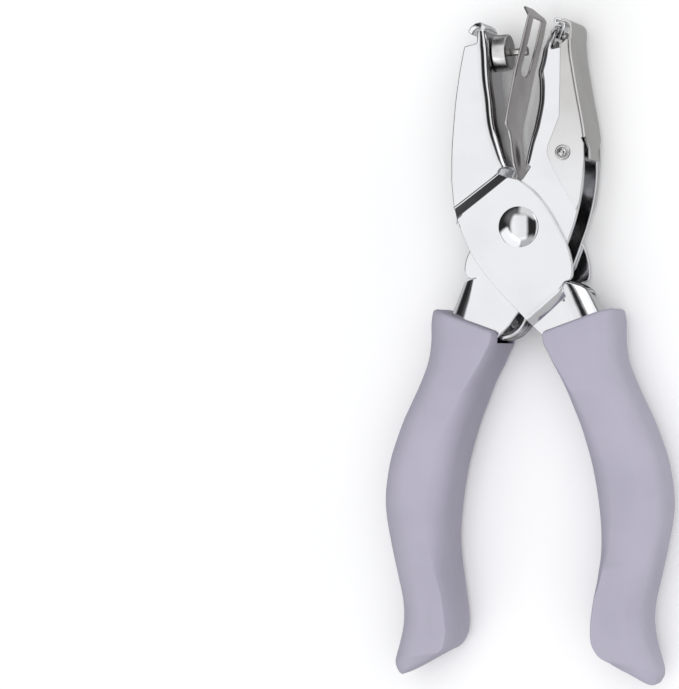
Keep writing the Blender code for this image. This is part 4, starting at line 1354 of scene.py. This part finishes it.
@dataclass
class CoverHinge:
    """The pin and the two eyelets that the cover turns on."""

    place: Place = (9.6, 15.8, 0.0)
    pin: float = 0.85
    play: float = 0.1
    dome_height: float = 0.4
    eyelet: float = 1.65
    neck: float = 1.25
    neck_foot: float = 4.8
    flange_foot: float = 7.05
    flange_top: float = 7.45
    roll_steps: int = 12
    eyelet_sides: int = 64

    def build(self) -> None:
        """Build the pin and both eyelets."""
        pale = (0.80, 0.80, 0.80)
        steel = TurnedSteel(name="turned_steel_hinge", origin=self.place, colour=pale, polish=0.10)
        bore = self.pin + self.play
        half = (self.eyelet - bore) / 2
        height = self.flange_top - self.flange_foot
        turns = [pi * (1 - step / self.roll_steps) for step in range(self.roll_steps + 1)]
        roll = [(bore + half + half * cos(turn), self.flange_foot + height * sin(turn)) for turn in turns]
        eyelet = roll + [(self.neck, self.flange_foot), (self.neck, self.neck_foot), (bore, self.neck_foot)]
        for end, way in (("front", 1), ("back", -1)):
            toward = (0, 0, way)
            piece = turned(f"hinge_eyelet_{end}_turned", eyelet, self.place, toward, self.eyelet_sides)
            dress(piece, f"cover_hinge_eyelet_{end}", Body.DIE, steel)
        top = dome(self.pin, self.dome_height, self.flange_top)
        profile = top + [(radius, -height) for radius, height in reversed(top)]
        dress(turned("hinge_pin_turned", profile, self.place), "cover_hinge_pin", Body.DIE, steel)


@dataclass
class CoverCatch:
    """The small leaf at the die jaw's tip, with its rolled finger."""

    thickness: float = 0.45
    half_width: float = 1.7
    finger: float = 0.5
    finger_turn: float = 255.0
    finger_steps: int = 18
    line: Outline = (
        (7.31, 40.61), (7.566, 41.31), (7.94, 42.35), (8.5, 43.2), (8.45, 44.0), (7.9, 44.76), (7.1, 45.1),
    )

    def build(self) -> None:
        """Build the catch and dress it."""
        line = smooth_line(self.line)
        last, before = line[-1], line[-2]
        heading = atan2(last[1] - before[1], last[0] - before[0]) + pi / 2
        centre = (last[0] + self.finger * cos(heading), last[1] + self.finger * sin(heading))
        for step in range(1, self.finger_steps + 1):
            turn = heading + pi + radians(self.finger_turn) * step / self.finger_steps
            line.append((centre[0] + self.finger * cos(turn), centre[1] + self.finger * sin(turn)))
        skin = SheetSkin()
        back, front = ([(x, y, z) for x, y in line] for z in (-self.half_width, self.half_width))
        skin.strip(back, front)
        catch = mesh_piece("cover_catch_leaf", skin.shape)
        add_modifier(catch, "SOLIDIFY", thickness=self.thickness * MM, offset=0, use_even_offset=True)
        round_edges(catch, LEAF_ROUNDING, 2)
        dress(catch, "cover_catch", Body.CATCH, CHROME)


# Spring and grips


@dataclass
class ReturnSpring:
    """The torsion spring that opens the handles."""

    x: float = -5.0
    y: float = -18.4
    radius: float = 5.1
    wire: float = 0.85
    half_rise: float = 3.65
    leg_rise: float = 1.0
    start: float = 60.0
    turn: float = 1200.0
    coil_steps: int = 120
    wire_steps: int = 5
    right_leg: Outline = (
        (13.0, -31.2), (12.3, -27.6), (11.2, -24.0), (8.6, -20.3), (2.94, -16.86),
    )
    left_leg: Outline = (
        (-10.39, -23.03), (-11.76, -26.95), (-14.01, -30.38), (-16.86, -33.32),
    )

    def route(self) -> list[Place]:
        """The wire's middle line.

        Returns:
            Its places from the end in the right handle to the end in the left.
        """
        coil = []
        for i in range(self.coil_steps + 1):
            turn = radians(self.start + self.turn * i / self.coil_steps)
            height = self.half_rise * (1 - 2 * i / self.coil_steps)
            coil.append((self.x + self.radius * cos(turn), self.y + self.radius * sin(turn), height))
        into = smooth_line([*self.right_leg, coil[0][:2]])[:-1]
        out = smooth_line([coil[-1][:2], *self.left_leg])[1:]
        climb = self.half_rise - self.leg_rise
        into_leg = [(x, y, self.leg_rise + climb * i / len(into)) for i, (x, y) in enumerate(into)]
        out_leg = [(x, y, -self.half_rise + climb * (i + 1) / len(out)) for i, (x, y) in enumerate(out)]
        return into_leg + coil + out_leg

    def build(self) -> None:
        """Build the spring and dress it."""
        wire = bpy.data.curves.new("return_spring_wire", "CURVE")
        wire.dimensions = "3D"
        wire.bevel_depth = self.wire * MM
        wire.bevel_resolution = self.wire_steps
        wire.use_fill_caps = True
        route = self.route()
        line = wire.splines.new("POLY")
        line.points.add(len(route) - 1)
        for point, place in zip(line.points, route):
            point.co = (*to_world(place), 1.0)
        line.use_smooth = True
        spring = bpy.data.objects.new("return_spring_wire", wire)
        bpy.context.scene.collection.objects.link(spring)
        dress(spring, "return_spring", Body.DIE, WIRE)


# How many faces each corner of a grip's section, its rounded ends and the bends of the room inside have
CORNER_STEPS = 7
END_STEPS = 5
ROOM_STEPS = 8


@dataclass
class Grip:
    """A vinyl sleeve over a handle.

    Its sizes are the right grip's, and the left grip mirrors them.
    """

    side: Side
    corner: float = 3.0
    outer_corner: float = 5.2
    least_corner: float = 0.5
    end_round: float = 0.9
    room: float = 0.3
    handle_half_depth: float = 6.0
    handle_bend: float = 5.6
    room_mouth: Point = (2.88, -18.5)
    coil_x: float = 5.0
    coil_y: float = -18.4
    coil_room: float = 6.55
    coil_room_sides: int = 64
    smooth_below: float = 38.0
    ridge: float = 14.0
    ridge_depth: float = 5.6
    sections: tuple[tuple[Point, Point], ...] = (
        ((20.2, -17.25), (4.9, -22.64)), ((20.7, -20.48), (5.2, -24.99)), ((20.7, -24.21), (6.3, -27.24)),
        ((21.3, -28.52), (7.6, -29.99)), ((22.9, -32.93), (9.5, -33.61)),
        ((24.95, -37.34), (10.95, -37.34)), ((27.0, -41.55), (12.65, -41.55)),
        ((28.7, -45.96), (14.1, -45.96)), ((30.1, -50.27), (15.3, -50.27)),
        ((30.9, -54.59), (16.2, -54.59)), ((31.3, -58.9), (16.86, -58.9)),
        ((30.95, -63.31), (17.35, -63.31)), ((30.15, -67.62), (17.54, -67.62)),
        ((29.2, -72.03), (17.3, -72.03)), ((28.2, -76.34), (16.7, -76.34)),
        ((27.25, -80.56), (16.1, -80.56)), ((27.0, -84.97), (15.6, -84.4)),
        ((27.8, -89.28), (15.6, -88.6)), ((29.2, -93.0), (16.8, -91.3)), ((29.8, -95.6), (19.0, -92.6)),
        ((28.6, -97.9), (22.6, -94.7)),
    )
    crests: Outline = (
        (-17.0, 0.8), (-27.0, 0.9), (-33.0, 1.4), (-38.0, 2.7), (-45.0, 3.7), (-50.0, 4.2), (-60.0, 4.2),
        (-68.0, 3.0), (-74.0, 1.6), (-80.0, 0.8), (-99.0, 0.8),
    )
    half_depths: Outline = (
        (-17.0, 9.0), (-84.0, 9.0), (-88.5, 8.6), (-91.5, 7.4), (-93.0, 6.2), (-95.0, 4.8), (-99.0, 4.8),
    )

    def level(self, table: Outline, height: float) -> float:
        """A value that changes down the grip.

        Args:
            table: Heights and the values there, from the top down.
            height: A height.

        Returns:
            The value there, which eases from one row of the table to the next.
        """
        for (y0, c0), (y1, c1) in zip(table, table[1:]):
            if y1 <= height <= y0:
                share = (height - y0) / (y1 - y0)
                return c0 + (c1 - c0) * share * share * (3 - 2 * share)
        return table[-1][1]

    def ring(self, outer: Point, inner: Point, inset: float) -> list[Place]:
        """One section of the sleeve.

        Args:
            outer: Its outer corner.
            inner: Its inner corner.
            inset: How much smaller it is all round.

        Returns:
            Its places, once round.
        """
        centre = between(outer, inner, 0.5)
        half = hypot(outer[0] - inner[0], outer[1] - inner[1]) / 2
        along = ((outer[0] - centre[0]) / half, (outer[1] - centre[1]) / half)
        half -= inset
        depth_half = self.level(self.half_depths, inner[1]) - inset
        soft = max(min(self.corner, depth_half) - inset, self.least_corner)
        round_outer = min(self.outer_corner, half, depth_half) - inset
        crest, drop = self.level(self.crests, inner[1]), min(self.ridge_depth, depth_half) - inset
        outer_reach = (round_outer, round_outer, 0.0)
        reaches = [outer_reach, (crest, drop, self.ridge), (soft, soft, 0.0), outer_reach]
        signs = [(1, 1), (-1, 1), (-1, -1), (1, -1)]
        places = []
        for corner, (reach, (across_sign, depth_sign)) in enumerate(zip(reaches, signs)):
            across_reach, depth_reach, kink = reach[0], reach[1], radians(reach[2])
            turns = [kink + (pi / 2 - kink) * step / CORNER_STEPS for step in range(CORNER_STEPS + 1)]
            if corner % 2 == 0:
                turns.reverse()
            low = sin(kink)
            for turn in turns:
                share = (sin(turn) - low) / (1 - low)
                across = half - across_reach * (1 - share)
                depth = depth_half - depth_reach * (1 - cos(turn) / cos(kink))
                across, depth = across * across_sign, depth * depth_sign
                places.append((centre[0] + along[0] * across, centre[1] + along[1] * across, depth))
        return places

    def skin(self) -> bpy.types.Object:
        """The closed outer skin.

        Returns:
            The skin as a piece.
        """
        sign = self.side.value
        outer, inner = (
            smooth_line([(sign * pair[corner][0], pair[corner][1]) for pair in self.sections], LONG_STEPS)
            for corner in (0, 1)
        )
        shape = bmesh.new()
        caps = []
        for end, following in ((0, 1), (-1, -2)):
            cap = []
            a, b = (outer[end], inner[end]), (outer[following], inner[following])
            step_length = (Vector(between(*a, 0.5)) - Vector(between(*b, 0.5))).length
            for step in range(END_STEPS):
                turn = pi / 2 * step / END_STEPS
                share = self.end_round * (1 - cos(turn)) / step_length
                inset = self.end_round * (1 - sin(turn))
                cap.append(self.ring(between(a[0], b[0], share), between(a[1], b[1], share), inset))
            caps.append(cap)
        middle = [self.ring(a, b, 0.0) for a, b in zip(outer[1:-1], inner[1:-1])]
        rings = [[shape.verts.new(place) for place in ring] for ring in caps[0] + middle + caps[1][::-1]]
        for upper, lower in zip(rings, rings[1:]):
            for i in range(len(upper)):
                j = (i + 1) % len(upper)
                shape.faces.new((upper[i], upper[j], lower[j], lower[i]))
        shape.faces.new(rings[0])
        shape.faces.new(rings[-1])
        bmesh.ops.recalc_face_normals(shape, faces=shape.faces)
        return mesh_piece(f"{self.side.name.lower()}_grip_sleeve", shape)

    def handle_room(self) -> bpy.types.Object:
        """The space that the handle takes inside.

        Returns:
            The space as a closed piece.
        """
        sign = self.side.value
        web = moved_line(HANDLE_WEB, self.room, 1)
        edge = moved_line(HANDLE_EDGE, self.room, -1)
        foot = web[-1][1] - self.room
        web.append((web[-1][0], foot))
        edge = [(edge[0][0], foot)] + edge + [self.room_mouth]
        web, edge = ([(sign * x, y) for x, y in line] for line in (web, edge))
        half_depth = self.handle_half_depth + self.room
        shape = bmesh.new()
        lines = []
        for step in range(ROOM_STEPS + 1):
            turn = pi / 2 * step / ROOM_STEPS
            inner = moved_line(web, self.handle_bend * (1 - cos(turn)), -sign)
            height = half_depth - self.handle_bend + self.handle_bend * sin(turn)
            lines.append([(x, y, height) for x, y in inner])
        lines = [[(x, y, -z) for x, y, z in line] for line in reversed(lines)] + lines
        rows = [[shape.verts.new(place) for place in line] for line in lines]
        for low, high in zip(rows, rows[1:]):
            for i in range(len(low) - 1):
                shape.faces.new((low[i], low[i + 1], high[i + 1], high[i]))
        front = [shape.verts.new((x, y, half_depth)) for x, y in edge]
        back = [shape.verts.new((x, y, -half_depth)) for x, y in edge]
        shape.faces.new(rows[-1] + front)
        shape.faces.new(rows[0] + back)
        for i in range(len(edge) - 1):
            shape.faces.new((front[i], front[i + 1], back[i + 1], back[i]))
        shape.faces.new([row[-1] for row in rows] + [front[0], back[0]])
        shape.faces.new([row[0] for row in rows] + [front[-1], back[-1]])
        bmesh.ops.recalc_face_normals(shape, faces=shape.faces)
        return mesh_piece("handle_room", shape)

    def build(self) -> None:
        """Build the sleeve and dress it."""
        grip = self.skin()
        take_out(grip, self.handle_room())
        place = (self.side.value * self.coil_x, self.coil_y, 0.0)
        coil = plug(self.coil_room, -self.handle_half_depth, self.handle_half_depth)
        take_out(grip, turned("coil_room", coil, place, sides=self.coil_room_sides))
        grip.data.set_sharp_from_angle(angle=radians(self.smooth_below))
        body = Body.PUNCH if self.side is Side.RIGHT else Body.DIE
        dress(grip, f"{self.side.name.lower()}_grip", body, VINYL)


# Studio


@dataclass(frozen=True)
class SoftPanel:
    """A soft box or a bright wall far away, which the chrome mirrors."""

    toward: Place
    across: Place
    half_width: float
    half_height: float
    tone: float
    softness: float = 5.0

    def glow(self, graph: Graph, direction: bpy.types.NodeSocket) -> Signal:
        """How bright the panel is in each direction.

        Args:
            graph: The world's graph.
            direction: The direction looked in.

        Returns:
            The panel's brightness, nought beside it.
        """
        ahead = Vector(self.toward).normalized()
        up = ahead.cross(Vector(self.across)).normalized()
        side = up.cross(ahead)
        depth = graph.share_of(direction, tuple(ahead))
        glow = self.tone
        for axis, half in ((side, self.half_width), (up, self.half_height)):
            turn = graph.share_of(direction, tuple(axis)).angle_from(depth).size()
            glow = (1 - turn.step_up(radians(half - self.softness), radians(half + self.softness))) * glow
        return glow


@dataclass
class Studio:
    """Pale floor, soft light and the camera at the photograph's angle."""

    floor_half: float = 700.0
    floor_gap: float = 0.05
    camera_place: Place = (168.33, -27.73, 556.04)
    camera_right: Place = (0.93424, 0.00050, -0.35664)
    camera_up: Place = (0.00109, 0.99999, 0.00425)
    lens: float = 139.54
    sensor_width: float = 36.0
    clip: tuple[float, float] = (0.05, 10.0)
    lamp_place: Place = (260.0, -40.0, 1000.0)
    lamp_size: float = 1300.0
    lamp_power: float = 8.2
    sky: Place = (0.98, 0.985, 1.0)
    dark: float = 0.025
    panels: tuple[SoftPanel, ...] = (
        SoftPanel((-0.12, 0.0, 1.0), (1, 0, 0), 30.0, 46.0, 0.90, 6.0),
        SoftPanel((1.0, 0.0, 0.02), (0, 1, 0), 55.0, 31.0, 1.0, 4.0),
        SoftPanel((0.38, 0.92, 0.18), (1, 0, 0), 33.0, 32.0, 0.75, 6.0),
        SoftPanel((-0.55, 0.66, 0.52), (1, 1, 0), 24.0, 16.0, 0.12, 10.0),
        SoftPanel((0.28, -0.84, 0.44), (1, 0, 0), 26.0, 22.0, 0.50, 8.0),
        SoftPanel((-0.66, -0.58, 0.42), (1, -1, 0), 34.0, 24.0, 1.05, 4.0),
        SoftPanel((-0.80, 0.10, -0.60), (0, 1, 0), 60.0, 24.0, 0.55, 8.0),
        SoftPanel((0.30, 0.0, -0.95), (1, 0, 0), 34.0, 60.0, 0.46, 8.0),
        SoftPanel((-0.50, -0.05, 0.87), (1, 0, 0), 18.0, 30.0, 0.10, 14.0),
    )

    def floor(self) -> None:
        """Lay the floor, which the chrome doesn't mirror."""
        shape = bmesh.new()
        reach = self.floor_half
        corners = [(-reach, -reach), (reach, -reach), (reach, reach), (-reach, reach)]
        shape.faces.new([shape.verts.new((x, y, -MID_HEIGHT - self.floor_gap)) for x, y in corners])
        floor = mesh_piece("studio_floor", shape)
        floor.data.materials.append(PaleFloor().material())
        floor.visible_glossy = False

    def world(self) -> None:
        """Set soft panels round the tool, with dark gaps between them."""
        world = bpy.data.worlds.new("soft_studio")
        world.use_nodes = True
        bpy.context.scene.world = world
        graph = Graph(world.node_tree)
        direction = graph.node("ShaderNodeTexCoord").outputs["Generated"]
        total = self.dark
        for panel in self.panels:
            total = panel.glow(graph, direction) + total
        sky = graph.node("ShaderNodeBackground", None, {"Color": (*self.sky, 1.0), "Strength": total})
        graph.output("ShaderNodeOutputWorld", sky)

    def lamp(self) -> None:
        """Hang a soft square lamp that looks at the pivot and isn't mirrored in the chrome."""
        data = bpy.data.lights.new("key_softbox", "AREA")
        data.size = self.lamp_size * MM
        data.energy = self.lamp_power
        lamp = bpy.data.objects.new("key_softbox", data)
        lamp.location = to_world(self.lamp_place)
        lamp.rotation_mode = "QUATERNION"
        lamp.rotation_quaternion = (-Vector(self.lamp_place)).to_track_quat("-Z", "Y")
        lamp.visible_glossy = False
        bpy.context.scene.collection.objects.link(lamp)

    def camera(self) -> None:
        """Set up the camera."""
        data = bpy.data.cameras.new("camera")
        data.lens = self.lens
        data.sensor_width = self.sensor_width
        data.clip_start, data.clip_end = self.clip
        camera = bpy.data.objects.new("camera", data)
        right, up = Vector(self.camera_right), Vector(self.camera_up)
        columns = (right, up, right.cross(up), to_world(self.camera_place))
        camera.matrix_world = Matrix([[column[i] for column in columns] for i in range(3)] + [(0, 0, 0, 1)])
        bpy.context.scene.collection.objects.link(camera)
        bpy.context.scene.camera = camera

    def build(self) -> None:
        """Set the whole studio up."""
        self.floor()
        self.world()
        self.lamp()
        self.camera()
        bpy.context.scene.view_settings.view_transform = "Standard"
        LOG.info("studio ready")


def main() -> None:
    """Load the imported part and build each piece."""
    logging.basicConfig(level=logging.INFO, format="%(name)s: %(message)s")
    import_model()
    builders = [
        PunchLever(), DieLever(), PivotSet(), PunchSet(), Stripper(), ChipCover(), CoverHinge(), CoverCatch(),
        ReturnSpring(), Grip(Side.RIGHT), Grip(Side.LEFT), Studio(),
    ]
    for builder in builders:
        builder.build()


if __name__ == "__main__":
    main()
